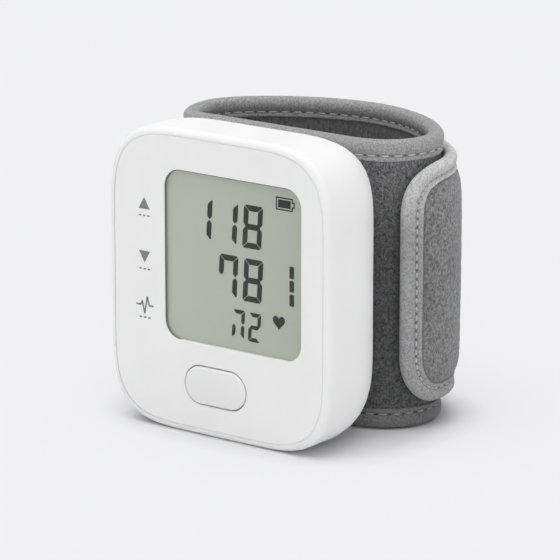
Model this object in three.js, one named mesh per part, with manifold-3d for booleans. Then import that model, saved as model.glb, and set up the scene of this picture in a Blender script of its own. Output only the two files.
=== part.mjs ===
// Wrist blood pressure monitor: a display case on a padded wrist cuff with a closing strap.
// Millimetres, +Z up, the display faces -Y. The origin lies on the table, under the flat of the case.

import * as THREE from "three";
import { mergeVertices } from "three/addons/utils/BufferGeometryUtils.js";
import Module from "manifold-3d";

const wasm = await Module();
wasm.setup();

// Clearances
const fit = 0.1;
const seamGap = 0.3;
const overrun = 5;

// Case
const caseWidth = 65;
const caseHeight = 73.6;
const caseDepth = 26.4;
const caseWall = 2;
const cornerReach = 24;
const cornerPower = 3.5;
const frontFillet = 1.7;
const sideFlat = 9.8;
const rearRoundInset = 10.4;
const ledgeWidth = 1.5;
const ledgeDepth = 1.7;
const bossRadius = 2.4;

// Fascia and display window
const fasciaInset = 1.85;
const fasciaThickness = 2;
const fasciaEdge = 0.25;
const windowLeft = 16.85;
const windowRight = 8.05;
const windowTop = 9.8;
const windowBottom = 22.6;
const windowCorner = 4.5;
const windowRecess = 1.3;
const lensLip = 1;
const lcdLip = 1.3;
const lcdThickness = 2.2;
const lcdFrameThickness = 1.2;
const lcdFrameRail = 4;
const lcdPostRadius = 1.4;
const lcdPostInset = 8.6;
const connectorThickness = 2;
const connectorInset = 6.05;

// Start button and its switch
const buttonX = -0.7;
const buttonRise = 12.5;
const buttonWidth = 18.4;
const buttonHeight = 9.7;
const buttonGap = 0.25;
const buttonProud = 0.3;
const buttonEdge = 0.6;
const buttonFlange = 1.4;
const buttonFlangeThickness = 0.8;
const buttonStemRadius = 2.2;
const buttonStemLength = 0.4;
const buttonTravel = 0.5;
const switchSize = 6;
const plungerRadius = 1.6;
const plungerLength = 1.6;
const plungerProud = 1;

// Board and what it carries
const boardDepth = 8.1;
const boardThickness = 1.2;
const boardToTray = 1.9;
const boardMargin = 0.8;
const chipSize = 10;
const chipThickness = 1.2;
const chipInset = 18.5;
const chipRise = 7.6;
const buzzerRadius = 4.5;
const buzzerHeight = 3.2;
const buzzerToChip = 13;
const buzzerRise = 13.6;
const sensorSize = 7;
const sensorHeight = 2.8;
const screwHeadRadius = 1.8;
const screwHeadHeight = 1.2;
const screwRadius = 0.8;
const screwLength = 5;
const boardScrewLeft = 6.1;
const boardScrewRight = 7.1;
const boardScrewTop = 6.8;
const boardScrewBottom = 7.4;
const boardScrewToPost = 6.4;
const boardScrewToPump = 9.5;

// Air pump, valve and the silicone manifold that joins them
const pumpInset = 14;
const pumpForward = 0.25;
const pumpClear = 2.3;
const pumpLength = 15;
const pumpRise = 9.8;
const pumpHeadClear = 1.75;
const pumpHeadHeight = 8.5;
const pumpHeadCorner = 1.4;
const pumpShaftRadius = 1.5;
const nozzleRadius = 1.1;
const nozzleLength = 2;
const cradleThickness = 1.6;
const cradleBeside = 1.05;
const cradleInset = 3;
const valveWidth = 9;
const valveHeight = 12;
const valveToPump = 13.5;
const valveRise = 11.8;
const hoseRadius = 2.1;
const boreRadius = 0.7;
const portX = -2;
const hoseRise = 5.9;
const portCollarRadius = 3.2;
const portCollarHeight = 0.9;
const portReach = 5.5;

// Battery bay on the left side
const cellRadius = 5.25;
const cellEndRoom = 14.55;
const cellNubRadius = 1.9;
const cellNubHeight = 0.8;
const cellInsetFront = 2.9;
const cellFrontDepth = 8.7;
const cellInsetBack = 7.75;
const cellBackClear = 0.5;
const cellPitch = 11.05;
const bayRoom = 2.55;
const bayWall = 1.3;
const contactThickness = 0.4;
const contactSize = 6;
const bridgeWidth = 3;
const springWire = 0.3;
const springRadius = 2.7;
const springTip = 2;
const springTurns = 3;
const turnSteps = 10;
const doorFront = 4.4;
const doorToBack = 5;
const doorToBay = 0.8;
const doorCorner = 3;
const doorThickness = 1.5;
const doorGap = 0.25;
const gripCount = 4;
const gripWidth = 0.9;
const gripPitch = 2.2;
const gripDepth = 0.35;
const gripBottom = 10;
const gripFront = 6;
const gripLength = 6;

// Cuff loop in plan, drawn through its outer face
const cuffRight = 32.5;
const cuffLeft = 35.8;
const cuffDepth = 36.9;
const cuffApex = 0.5;
const flatRight = 17;
const flatLeft = 27;
const shoulderRight = 14;
const shoulderLeft = 13.5;
const cornerHandleShare = 0.6;
const backSideHandleShare = 0.4;
const backApexHandleShare = 0.5;

// Cuff layers, heights and binding
const cuffLower = 2.8;
const coverThickness = 0.8;
const curlerThickness = 0.7;
const bladderThickness = 0.6;
const liningThickness = 0.4;
const bindingThickness = 0.4;
const topBindingReach = 5.3;
const bottomBindingReach = 5;
const bindingCover = 1.4;
const bottomFlat = 0.5;
const curlerMargin = 4;
const bladderMargin = 7;
const cuffMountGap = 0.3;
const cuffBossRadius = 2.2;
const cuffScrewLength = 4;
const cuffScrewSpan = 18;
const cuffScrewInset = 19.8;

// Places along the loop, measured round its outer face from the middle of the front
const strapTip = 30.7;
const loopSeam = 59;
const strapRoot = 84;
const armBend = 104;
const stationPitch = 3.4;

// Closing strap
const strapTopDrop = 5.1;
const strapBottomRise = 6.4;
const crownRise = 1.3;
const crownRoll = 3;
const strapGap = 0.9;
const strapThickness = 2.5;
const strapBindingWidth = 4.6;
const strapBindingThickness = 0.4;
const tipTopRise = 10.9;
const tipBottomRise = 10.4;
const tipTopReach = 20;
const tipBottomReach = 13;
const hookInset = 10;
const hookLength = 15;
const hookStart = 11;
const hookThickness = 1;

// Facets
const cornerSteps = 8;
const filletSteps = 3;
const arcSteps = 5;
const roundSteps = 6;
const crownShares = [0, 0.02, 0.06, 0.3, 0.5, 0.7, 0.94, 0.98, 1];
const strapSteps = 13;
const cylinderSides = 20;
const smallSides = 12;

const white = new THREE.MeshStandardMaterial({ color: 0xe9e9ea, roughness: 0.45, metalness: 0 });
const fasciaWhite = new THREE.MeshStandardMaterial({ color: 0xe6e6e7, roughness: 0.5, metalness: 0 });
const buttonGrey = new THREE.MeshStandardMaterial({ color: 0xe2e2e3, roughness: 0.5, metalness: 0 });
const clear = new THREE.MeshStandardMaterial({
  color: 0xdfe6e0, roughness: 0.1, metalness: 0, transparent: true, opacity: 0.2,
});
const displayGreen = new THREE.MeshStandardMaterial({ color: 0xb4bbae, roughness: 0.3, metalness: 0 });
const darkPlastic = new THREE.MeshStandardMaterial({ color: 0x3a3c3f, roughness: 0.6, metalness: 0 });
const boardGreen = new THREE.MeshStandardMaterial({ color: 0x1f5a3c, roughness: 0.5, metalness: 0 });
const steel = new THREE.MeshStandardMaterial({ color: 0xb9bcc0, roughness: 0.3, metalness: 0.9 });
const silicone = new THREE.MeshStandardMaterial({ color: 0xcfd2d4, roughness: 0.6, metalness: 0 });
const cellSleeve = new THREE.MeshStandardMaterial({ color: 0x4d565c, roughness: 0.4, metalness: 0.3 });
const felt = new THREE.MeshStandardMaterial({ color: 0x626365, roughness: 0.95, metalness: 0 });
const liningCloth = new THREE.MeshStandardMaterial({ color: 0x4a4b4d, roughness: 0.95, metalness: 0 });
const bindingTape = new THREE.MeshStandardMaterial({ color: 0x8e8f91, roughness: 0.9, metalness: 0 });
const bladderFilm = new THREE.MeshStandardMaterial({ color: 0x6d7072, roughness: 0.5, metalness: 0 });
const hookTape = new THREE.MeshStandardMaterial({ color: 0x37383a, roughness: 0.9, metalness: 0 });

// Everything is placed from the middle of the fascia's front face, y running back into the case.
const assembly = new THREE.Group();
assembly.position.set(0, -(frontFillet + sideFlat) / 2, caseHeight / 2);

function toSolid(geometry) {
  const plain = geometry.clone();
  plain.deleteAttribute("normal");
  plain.deleteAttribute("uv");
  const merged = mergeVertices(plain);
  return new wasm.Manifold(new wasm.Mesh({
    numProp: 3,
    vertProperties: new Float32Array(merged.attributes.position.array),
    triVerts: new Uint32Array(merged.index.array),
  }));
}

function toGeometry(solid) {
  const mesh = solid.getMesh();
  const geometry = new THREE.BufferGeometry();
  geometry.setAttribute("position", new THREE.BufferAttribute(new Float32Array(mesh.vertProperties), 3));
  geometry.setIndex(new THREE.BufferAttribute(new Uint32Array(mesh.triVerts), 1));
  geometry.computeVertexNormals();
  return geometry;
}

function add(name, solid, material) {
  const mesh = new THREE.Mesh(toGeometry(solid), material);
  mesh.name = name;
  assembly.add(mesh);
}

// A loft through rings of points, closed at both ends. Flat is the outline that the caps are cut from.
function loft(rings, flat) {
  const count = rings[0].length;
  const positions = [];
  for (const ring of rings) {
    for (const point of ring) positions.push(point.x, point.y, point.z);
  }
  const index = [];
  for (let r = 0; r + 1 < rings.length; r += 1) {
    for (let i = 0; i < count; i += 1) {
      const a = r * count + i;
      const b = r * count + (i + 1) % count;
      index.push(a, b, b + count, a, b + count, a + count);
    }
  }
  const last = (rings.length - 1) * count;
  for (const [a, b, c] of THREE.ShapeUtils.triangulateShape(flat, [])) {
    index.push(a, c, b, last + a, last + b, last + c);
  }
  if (THREE.ShapeUtils.area(flat) < 0) {
    for (let i = last * 6; i < index.length; i += 3) {
      [index[i + 1], index[i + 2]] = [index[i + 2], index[i + 1]];
    }
  }
  if (signedVolume(positions, index) < 0) index.reverse();
  const geometry = new THREE.BufferGeometry();
  geometry.setAttribute("position", new THREE.Float32BufferAttribute(positions, 3));
  geometry.setIndex(index);
  return toSolid(geometry);
}

function signedVolume(positions, index) {
  const at = (i) => new THREE.Vector3().fromArray(positions, index[i] * 3);
  let sum = 0;
  for (let i = 0; i < index.length; i += 3) {
    sum += at(i).dot(at(i + 1).cross(at(i + 2)));
  }
  return sum / 6;
}

// Rounded rectangle in a plane, with circular corners.
function roundedRectangle(x, z, width, height, radius) {
  const shape = new THREE.Shape();
  const halfWidth = width / 2 - radius;
  const halfHeight = height / 2 - radius;
  shape.absarc(x + halfWidth, z + halfHeight, radius, 0, Math.PI / 2);
  shape.absarc(x - halfWidth, z + halfHeight, radius, Math.PI / 2, Math.PI);
  shape.absarc(x - halfWidth, z - halfHeight, radius, Math.PI, Math.PI * 1.5);
  shape.absarc(x + halfWidth, z - halfHeight, radius, Math.PI * 1.5, Math.PI * 2);
  shape.closePath();
  return shape;
}

// Prism of a shape drawn in x and z, from the depth y0 back to y1.
function prism(shape, y0, y1) {
  const geometry = new THREE.ExtrudeGeometry(shape, {
    depth: y1 - y0, bevelEnabled: false, curveSegments: arcSteps,
  });
  geometry.rotateX(Math.PI / 2);
  geometry.translate(0, y1, 0);
  return toSolid(geometry);
}

function block(x0, x1, y0, y1, z0, z1) {
  const geometry = new THREE.BoxGeometry(x1 - x0, y1 - y0, z1 - z0);
  geometry.translate((x0 + x1) / 2, (y0 + y1) / 2, (z0 + z1) / 2);
  return toSolid(geometry);
}

// Round rod from one point to another.
function rod(from, to, radius, sides = smallSides) {
  const start = new THREE.Vector3(...from);
  const end = new THREE.Vector3(...to);
  const geometry = new THREE.CylinderGeometry(radius, radius, start.distanceTo(end), sides);
  const turn = new THREE.Quaternion().setFromUnitVectors(
    new THREE.Vector3(0, 1, 0), end.clone().sub(start).normalize(),
  );
  geometry.applyQuaternion(turn);
  const middle = start.add(end).multiplyScalar(1 / 2);
  geometry.translate(middle.x, middle.y, middle.z);
  return toSolid(geometry);
}

// Case outline: straight middles and squircle corners, drawn in from the widest outline by the inset.
function caseOutline(inset) {
  const reach = cornerReach - inset;
  const middleX = caseWidth / 2 - cornerReach;
  const middleZ = caseHeight / 2 - cornerReach;
  const points = [];
  const sides = [[1, 1], [-1, 1], [-1, -1], [1, -1]];
  for (const [sideX, sideZ] of sides) {
    for (let i = 0; i <= cornerSteps; i += 1) {
      const step = sideX * sideZ > 0 ? i : cornerSteps - i;
      const angle = step / cornerSteps * Math.PI / 2;
      const x = middleX + reach * Math.cos(angle) ** (2 / cornerPower);
      const z = middleZ + reach * Math.max(Math.sin(angle), 0) ** (2 / cornerPower);
      points.push(new THREE.Vector2(sideX * x, sideZ * z));
    }
  }
  return points;
}

function caseLoft(stations) {
  const outlines = stations.map(({ inset }) => caseOutline(inset));
  const rings = outlines.map((outline, i) => (
    outline.map((point) => new THREE.Vector3(point.x, stations[i].y, point.y))
  ));
  return loft(rings, outlines[0]);
}

// The rounded back of the case, drawn in by a wall all round.
function backRounding(wall) {
  const stations = [];
  for (let i = 0; i <= roundSteps; i += 1) {
    const angle = i / roundSteps * Math.PI / 2;
    stations.push({
      inset: wall + (rearRoundInset - wall) * (1 - Math.cos(angle)),
      y: sideFlat + (caseDepth - sideFlat - wall) * Math.sin(angle),
    });
  }
  return stations;
}

function frontRounding() {
  const stations = [];
  for (let i = 0; i <= filletSteps; i += 1) {
    const angle = i / filletSteps * Math.PI / 2;
    stations.push({
      inset: frontFillet * (1 - Math.sin(angle)),
      y: frontFillet * (1 - Math.cos(angle)),
    });
  }
  return stations;
}

const openingInset = fasciaInset - seamGap;
const ledgeInset = openingInset + ledgeWidth;
const ledgeFront = fasciaThickness + fit;
const ledgeBack = ledgeFront + ledgeDepth;
const rearInner = caseDepth - caseWall;
const boardBack = boardDepth + boardThickness;
const windowWidth = caseWidth - windowLeft - windowRight;
const windowHeight = caseHeight - windowTop - windowBottom;
const windowX = (windowLeft - windowRight) / 2;
const windowZ = (windowBottom - windowTop) / 2;
const buttonZ = buttonRise - caseHeight / 2;
const cavityStations = (wall) => [{ inset: wall, y: ledgeBack }, ...backRounding(wall)];

// Cuff loop: a closed path round the outer face of the wall, counterclockwise from the front middle.
const bindingProud = fit + bindingThickness;
const cuffFront = caseDepth + cuffMountGap + bindingProud;
const cuffBack = cuffFront + cuffDepth;
const loopPath = new THREE.Path();
const cornerRight = { x: cuffRight, y: cuffFront + shoulderRight };
const cornerLeft = { x: -cuffLeft, y: cuffFront + shoulderLeft };
loopPath.moveTo(0, cuffFront);
loopPath.lineTo(flatRight, cuffFront);
loopPath.bezierCurveTo(
  flatRight + (cuffRight - flatRight) * cornerHandleShare, cuffFront,
  cornerRight.x, cornerRight.y - shoulderRight * cornerHandleShare,
  cornerRight.x, cornerRight.y,
);
loopPath.bezierCurveTo(
  cornerRight.x, cornerRight.y + (cuffBack - cornerRight.y) * backSideHandleShare,
  cuffApex + (cuffRight - cuffApex) * backApexHandleShare, cuffBack,
  cuffApex, cuffBack,
);
loopPath.bezierCurveTo(
  cuffApex - (cuffApex + cuffLeft) * backApexHandleShare, cuffBack,
  cornerLeft.x, cornerLeft.y + (cuffBack - cornerLeft.y) * backSideHandleShare,
  cornerLeft.x, cornerLeft.y,
);
loopPath.bezierCurveTo(
  cornerLeft.x, cornerLeft.y - shoulderLeft * cornerHandleShare,
  -flatLeft - (cuffLeft - flatLeft) * cornerHandleShare, cuffFront,
  -flatLeft, cuffFront,
);
loopPath.lineTo(0, cuffFront);
const loopLength = loopPath.getLength();

// A point on the loop at a distance along it, at the height z, out from the outer face by out.
function wrap(along, z, out) {
  const share = THREE.MathUtils.euclideanModulo(along / loopLength, 1);
  const point = loopPath.getPoint(share);
  const tangent = loopPath.getTangent(share);
  return new THREE.Vector3(point.x + tangent.y * out, point.y - tangent.x * out, z);
}

function stationsBetween(from, to) {
  const steps = Math.max(1, Math.round((to - from) / stationPitch));
  return Array.from({ length: steps + 1 }, (_, i) => from + (to - from) * i / steps);
}

// The fixed part of the cuff ends at the seam, where the arm begins, and the arm ends at its bend.
const fixedStations = stationsBetween(armBend - loopLength + seamGap, loopSeam);
const armStations = stationsBetween(loopSeam + seamGap, armBend);

// Sweeps a section, given as points of out and z, through stations along the loop.
function sweep(stations, section) {
  const rings = stations.map((along) => section.map((point) => wrap(along, point.y, point.x)));
  return loft(rings, section);
}

function strip(stations, outer, inner, bottom, top) {
  return sweep(stations, [
    new THREE.Vector2(outer, bottom),
    new THREE.Vector2(outer, top),
    new THREE.Vector2(inner, top),
    new THREE.Vector2(inner, bottom),
  ]);
}

// Depths of the cuff's layers, from the outer face inwards.
const cuffBottom = -caseHeight / 2;
const cuffTop = caseHeight / 2 - cuffLower;
const curlerOuter = -coverThickness - fit;
const curlerInner = curlerOuter - curlerThickness;
const bladderOuter = curlerInner - fit;
const bladderInner = bladderOuter - bladderThickness;
const liningOuter = bladderInner - fit;
const wallInner = liningOuter - liningThickness;
const wallTop = cuffTop - bindingCover;
const wallBottom = cuffBottom + bindingCover;

// The folded tape over an edge of the wall: two legs and a rounded crown, drawn for the top edge.
function bindingSection(reach, crownCut) {
  const outer = bindingProud;
  const inner = wallInner - bindingProud;
  const middle = (outer + inner) / 2;
  const crown = (outer - inner) / 2;
  const section = [];
  for (let i = 0; i <= roundSteps; i += 1) {
    const angle = i / roundSteps * Math.PI;
    const height = Math.min(crown * Math.sin(angle), crown - crownCut);
    section.push(new THREE.Vector2(middle + crown * Math.cos(angle), height - crown + crownCut));
  }
  section.push(new THREE.Vector2(inner, -reach));
  section.push(new THREE.Vector2(inner + bindingThickness, -reach));
  section.push(new THREE.Vector2(inner + bindingThickness, fit - bindingCover));
  section.push(new THREE.Vector2(outer - bindingThickness, fit - bindingCover));
  section.push(new THREE.Vector2(outer - bindingThickness, -reach));
  section.push(new THREE.Vector2(outer, -reach));
  return section;
}

function bindings(prefix, stations) {
  const top = bindingSection(topBindingReach, 0);
  const bottom = bindingSection(bottomBindingReach, bottomFlat);
  const topSection = top.map((point) => new THREE.Vector2(point.x, cuffTop + point.y));
  const bottomSection = bottom.map((point) => new THREE.Vector2(point.x, cuffBottom - point.y));
  add(`${prefix}_binding_top`, sweep(stations, topSection), bindingTape);
  add(`${prefix}_binding_bottom`, sweep(stations, bottomSection), bindingTape);
}

const windowShape = (grow) => roundedRectangle(
  windowX, windowZ, windowWidth + grow * 2, windowHeight + grow * 2, windowCorner + grow,
);
const buttonShape = (grow) => roundedRectangle(
  buttonX, buttonZ, buttonWidth + grow * 2, buttonHeight + grow * 2, buttonHeight / 2 + grow,
);

// Battery cells stand upright by the left wall. The back one lies clear of the case's rounding and of the
// front one, further in where the case is shallow.
const cellFrontX = cellInsetFront + cellRadius - caseWidth / 2;
const cellBackDepth = rearInner - cellBackClear - cellRadius;
const cellStep = Math.sqrt(Math.max(cellPitch ** 2 - (cellBackDepth - cellFrontDepth) ** 2, 0));
const cellBackX = Math.max(cellInsetBack + cellRadius - caseWidth / 2, cellFrontX + cellStep);
const cells = [
  { name: "front", x: cellFrontX, y: cellFrontDepth, side: 1 },
  { name: "back", x: cellBackX, y: cellBackDepth, side: -1 },
];
const cellLength = caseHeight - cellEndRoom * 2;
const bayHalf = cellLength / 2 + bayRoom;
const trayHalf = bayHalf + bayWall;
const trayStep = cellFrontX + cellRadius + seamGap + bayWall;
const trayEdge = cellBackX + cellRadius + seamGap + bayWall;
const trayStepDepth = cellBackDepth - cellRadius - seamGap - fit;
const doorBack = caseDepth - doorToBack;
const doorHalf = bayHalf - doorToBay;

function doorPrism(gap) {
  const shape = roundedRectangle(
    0, 0, doorBack - doorFront + gap * 2, doorHalf * 2 + gap * 2, doorCorner + gap,
  );
  const geometry = new THREE.ExtrudeGeometry(shape, {
    depth: caseWidth / 2, bevelEnabled: false, curveSegments: arcSteps,
  });
  geometry.rotateX(Math.PI / 2);
  geometry.rotateZ(Math.PI / 2);
  geometry.translate(-caseWidth + overrun, (doorFront + doorBack) / 2, 0);
  return toSolid(geometry);
}

function boss(x, z, front) {
  return rod([x, front, z], [x, caseDepth - caseWall / 2, z], bossRadius, cylinderSides);
}

// The pump takes its size from the room between the board and the back wall.
const airRoom = rearInner - boardBack;
const pumpX = caseWidth / 2 - pumpInset;
const valveX = pumpX - valveToPump;
const pumpDepth = boardBack + airRoom / 2 - pumpForward;
const pumpRadius = airRoom / 2 - pumpClear;
const pumpHeadSize = airRoom - pumpHeadClear * 2;
const pumpBottom = pumpRise - caseHeight / 2;
const pumpTop = pumpBottom + pumpLength;
const pumpHeadTop = pumpTop + fit + pumpHeadHeight;
const portZ = pumpHeadTop + hoseRise;
const lcdPostRise = windowHeight / 2 - lcdPostInset;
const boardLeft = trayStep + boardToTray;
const boardScrewPlaces = [
  { x: boardLeft + boardScrewLeft, z: boardScrewBottom - caseHeight / 2 },
  { x: boardLeft + boardScrewLeft, z: caseHeight / 2 - boardScrewTop },
  { x: caseWidth / 2 - boardScrewRight, z: windowZ + lcdPostRise - boardScrewToPost },
  { x: pumpX - boardScrewToPump, z: boardScrewBottom - caseHeight / 2 },
];
const cuffScrewHeight = caseHeight / 2 - cuffScrewInset;
const cuffScrewPlaces = [[1, 1], [-1, 1], [-1, -1], [1, -1]].map(([sideX, sideZ]) => (
  { x: sideX * cuffScrewSpan / 2, z: sideZ * cuffScrewHeight }
));

// Room for the heads of the cuff screws behind the board.
function clearOfScrews(solid) {
  let cut = solid;
  for (const { x, z } of cuffScrewPlaces) {
    cut = cut.subtract(rod([x, boardBack, z], [x, caseDepth, z], screwHeadRadius + seamGap));
  }
  return cut;
}

function makeShell() {
  let shell = caseLoft([...frontRounding(), ...backRounding(0)]);
  shell = shell.subtract(caseLoft([
    { inset: openingInset, y: -overrun },
    { inset: openingInset, y: ledgeFront },
  ]));
  shell = shell.subtract(caseLoft([
    { inset: ledgeInset, y: 0 },
    { inset: ledgeInset, y: ledgeBack + fit },
  ]));
  shell = shell.subtract(caseLoft(cavityStations(caseWall)));

  // Screw bosses and the pump's saddles stand on the back wall and are cut to the inside of the case.
  const inside = caseLoft(cavityStations(caseWall / 2));
  for (const { x, z } of boardScrewPlaces) {
    shell = shell.add(boss(x, z, boardBack + fit).intersect(inside));
  }
  const motorRoom = rod(
    [pumpX, pumpDepth, pumpBottom], [pumpX, pumpDepth, pumpTop], pumpRadius + seamGap, cylinderSides,
  );
  for (const z of [pumpBottom + cradleInset, pumpTop - cradleInset]) {
    const saddle = block(
      pumpX - pumpRadius - cradleBeside, pumpX + pumpRadius + cradleBeside,
      pumpDepth + pumpRadius / 2, caseDepth - caseWall / 2,
      z - cradleThickness / 2, z + cradleThickness / 2,
    );
    shell = shell.add(clearOfScrews(saddle.intersect(inside).subtract(motorRoom)));
  }
  for (const { x, z } of boardScrewPlaces) {
    shell = shell.subtract(rod([x, 0, z], [x, boardDepth + screwLength, z], screwRadius + fit));
  }
  const behind = caseDepth + overrun;
  for (const { x, z } of cuffScrewPlaces) {
    shell = shell.subtract(rod([x, rearInner - overrun / 2, z], [x, behind, z], screwRadius + fit));
  }
  shell = shell.subtract(rod(
    [portX, rearInner - overrun / 2, portZ], [portX, behind, portZ], hoseRadius + seamGap,
  ));
  return shell.subtract(doorPrism(doorGap));
}

function makeFascia() {
  let fascia = caseLoft([
    { inset: fasciaInset + fasciaEdge, y: 0 },
    { inset: fasciaInset, y: fasciaEdge },
    { inset: fasciaInset, y: fasciaThickness },
  ]);
  fascia = fascia.subtract(prism(windowShape(0), -overrun, fasciaThickness + overrun));
  fascia = fascia.subtract(prism(windowShape(lensLip + fit), windowRecess, fasciaThickness + overrun));
  return fascia.subtract(prism(buttonShape(0), -overrun, fasciaThickness + overrun));
}

// The ring of points round a button outline at a depth, without the doubled points where arcs meet.
function buttonRing(shape, y) {
  const outline = shape.getPoints(arcSteps).slice(0, -1);
  const ring = outline.filter((point, i) => i === 0 || point.distanceTo(outline[i - 1]) > buttonEdge / 100);
  return ring.map((point) => new THREE.Vector3(point.x, y, point.y));
}

function makeButton() {
  const face = buttonShape(-buttonGap);
  const crownBack = -buttonProud + buttonEdge / 2;
  const crown = buttonRing(buttonShape(-buttonGap - buttonEdge), -buttonProud);
  const cap = loft([crown, buttonRing(face, crownBack)], crown.map(({ x, z }) => new THREE.Vector2(x, z)));
  const flangeFront = fasciaThickness + fit;
  const flangeBack = flangeFront + buttonFlangeThickness;
  const body = prism(face, crownBack, flangeBack);
  const flange = prism(buttonShape(buttonFlange), flangeFront, flangeBack);
  const stemBack = flangeBack + buttonStemLength;
  const stem = rod([buttonX, flangeFront, buttonZ], [buttonX, stemBack, buttonZ], buttonStemRadius);
  return cap.add(body).add(flange).add(stem);
}

function makeSwitch() {
  const plungerFront = fasciaThickness + fit + buttonFlangeThickness + buttonStemLength + fit;
  const bodyFront = plungerFront + plungerProud;
  const well = bodyFront + plungerLength - plungerProud + buttonTravel + fit;
  const body = block(
    buttonX - switchSize / 2, buttonX + switchSize / 2, bodyFront, boardDepth - fit,
    buttonZ - switchSize / 2, buttonZ + switchSize / 2,
  );
  add("start_switch", body.subtract(rod(
    [buttonX, bodyFront - overrun, buttonZ], [buttonX, well, buttonZ], plungerRadius + fit,
  )), darkPlastic);
  add("switch_plunger", rod(
    [buttonX, plungerFront, buttonZ], [buttonX, plungerFront + plungerLength, buttonZ], plungerRadius,
  ), buttonGrey);
}

function makeDisplay() {
  const lensFront = windowRecess + fit;
  add("display_lens", prism(windowShape(lensLip), lensFront, fasciaThickness), clear);
  const lcdFront = fasciaThickness + fit;
  const lcdBack = lcdFront + lcdThickness;
  add("lcd_panel", prism(windowShape(lcdLip), lcdFront, lcdBack), displayGreen);
  const frameFront = lcdBack + fit;
  const frameBack = frameFront + lcdFrameThickness;
  const railMiddle = windowHeight / 2 + lcdLip - lcdFrameRail / 2;
  const connectorHalf = windowWidth / 2 - connectorInset;
  let holder = prism(windowShape(lcdLip), frameFront, frameBack);
  holder = holder.subtract(prism(
    windowShape(lcdLip - lcdFrameRail), frameFront - overrun, frameBack + overrun,
  ));
  for (const sideX of [1, -1]) {
    for (const sideZ of [1, -1]) {
      const x = windowX + sideX * (windowWidth / 2 + lcdLip - lcdPostRadius);
      const z = windowZ + sideZ * lcdPostRise;
      holder = holder.add(rod([x, frameFront, z], [x, boardDepth - fit, z], lcdPostRadius));
    }
  }
  for (const [place, side] of [["top", 1], ["bottom", -1]]) {
    const z = windowZ + side * railMiddle;
    const strip = (grow, front, back) => block(
      windowX - connectorHalf - grow, windowX + connectorHalf + grow, front, back,
      z - connectorThickness / 2 - grow, z + connectorThickness / 2 + grow,
    );
    holder = holder.subtract(strip(fit, frameFront - overrun, frameBack + overrun));
    add(`lcd_connector_${place}`, strip(0, frameFront, boardDepth - fit), darkPlastic);
  }
  add("lcd_frame", holder, white);
}

function makeScrew(name, x, z, seat, length) {
  const head = rod([x, seat - screwHeadHeight, z], [x, seat, z], screwHeadRadius);
  const shank = rod([x, seat - screwHeadHeight / 2, z], [x, seat + length, z], screwRadius);
  const slot = block(
    x - screwHeadRadius * 2, x + screwHeadRadius * 2,
    seat - screwHeadHeight - overrun, seat - screwHeadHeight / 2,
    z - screwRadius / 4, z + screwRadius / 4,
  );
  add(name, head.subtract(slot).add(shank), steel);
}

function makeBoard() {
  let board = caseLoft([
    { inset: caseWall + boardMargin, y: boardDepth },
    { inset: caseWall + boardMargin, y: boardBack },
  ]);
  board = board.intersect(block(boardLeft, caseWidth, 0, caseDepth, -caseHeight, caseHeight));
  if (trayStepDepth - seamGap < boardBack) {
    const side = trayHalf + seamGap;
    board = board.subtract(block(-caseWidth, trayEdge + seamGap, 0, caseDepth, -side, side));
  }
  for (const { x, z } of boardScrewPlaces) {
    board = board.subtract(rod([x, 0, z], [x, caseDepth, z], screwRadius + fit));
  }
  add("main_board", board, boardGreen);
  boardScrewPlaces.forEach(({ x, z }, i) => {
    makeScrew(`board_screw_${i + 1}`, x, z, boardDepth - fit, screwLength);
  });
  const seat = boardBack + fit;
  const chipX = caseWidth / 2 - chipInset;
  const chipZ = windowZ + chipRise;
  const buzzerX = chipX - buzzerToChip;
  const buzzerZ = windowZ + buzzerRise;
  add("controller_chip", block(
    chipX - chipSize / 2, chipX + chipSize / 2, seat, seat + chipThickness,
    chipZ - chipSize / 2, chipZ + chipSize / 2,
  ), darkPlastic);
  const buzzer = rod(
    [buzzerX, seat, buzzerZ], [buzzerX, seat + buzzerHeight, buzzerZ], buzzerRadius, cylinderSides,
  );
  const soundHole = rod(
    [buzzerX, seat + buzzerHeight / 2, buzzerZ], [buzzerX, caseDepth, buzzerZ], boreRadius,
  );
  add("buzzer", buzzer.subtract(soundHole), darkPlastic);
  const sensor = block(
    portX - sensorSize / 2, portX + sensorSize / 2, seat, seat + sensorHeight,
    portZ - sensorSize / 2, portZ + sensorSize / 2,
  );
  const sensorNozzle = rod(
    [portX, seat + sensorHeight / 2, portZ],
    [portX, seat + sensorHeight + nozzleLength, portZ],
    nozzleRadius,
  );
  add("pressure_sensor", sensor.add(sensorNozzle), darkPlastic);
}

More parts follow.
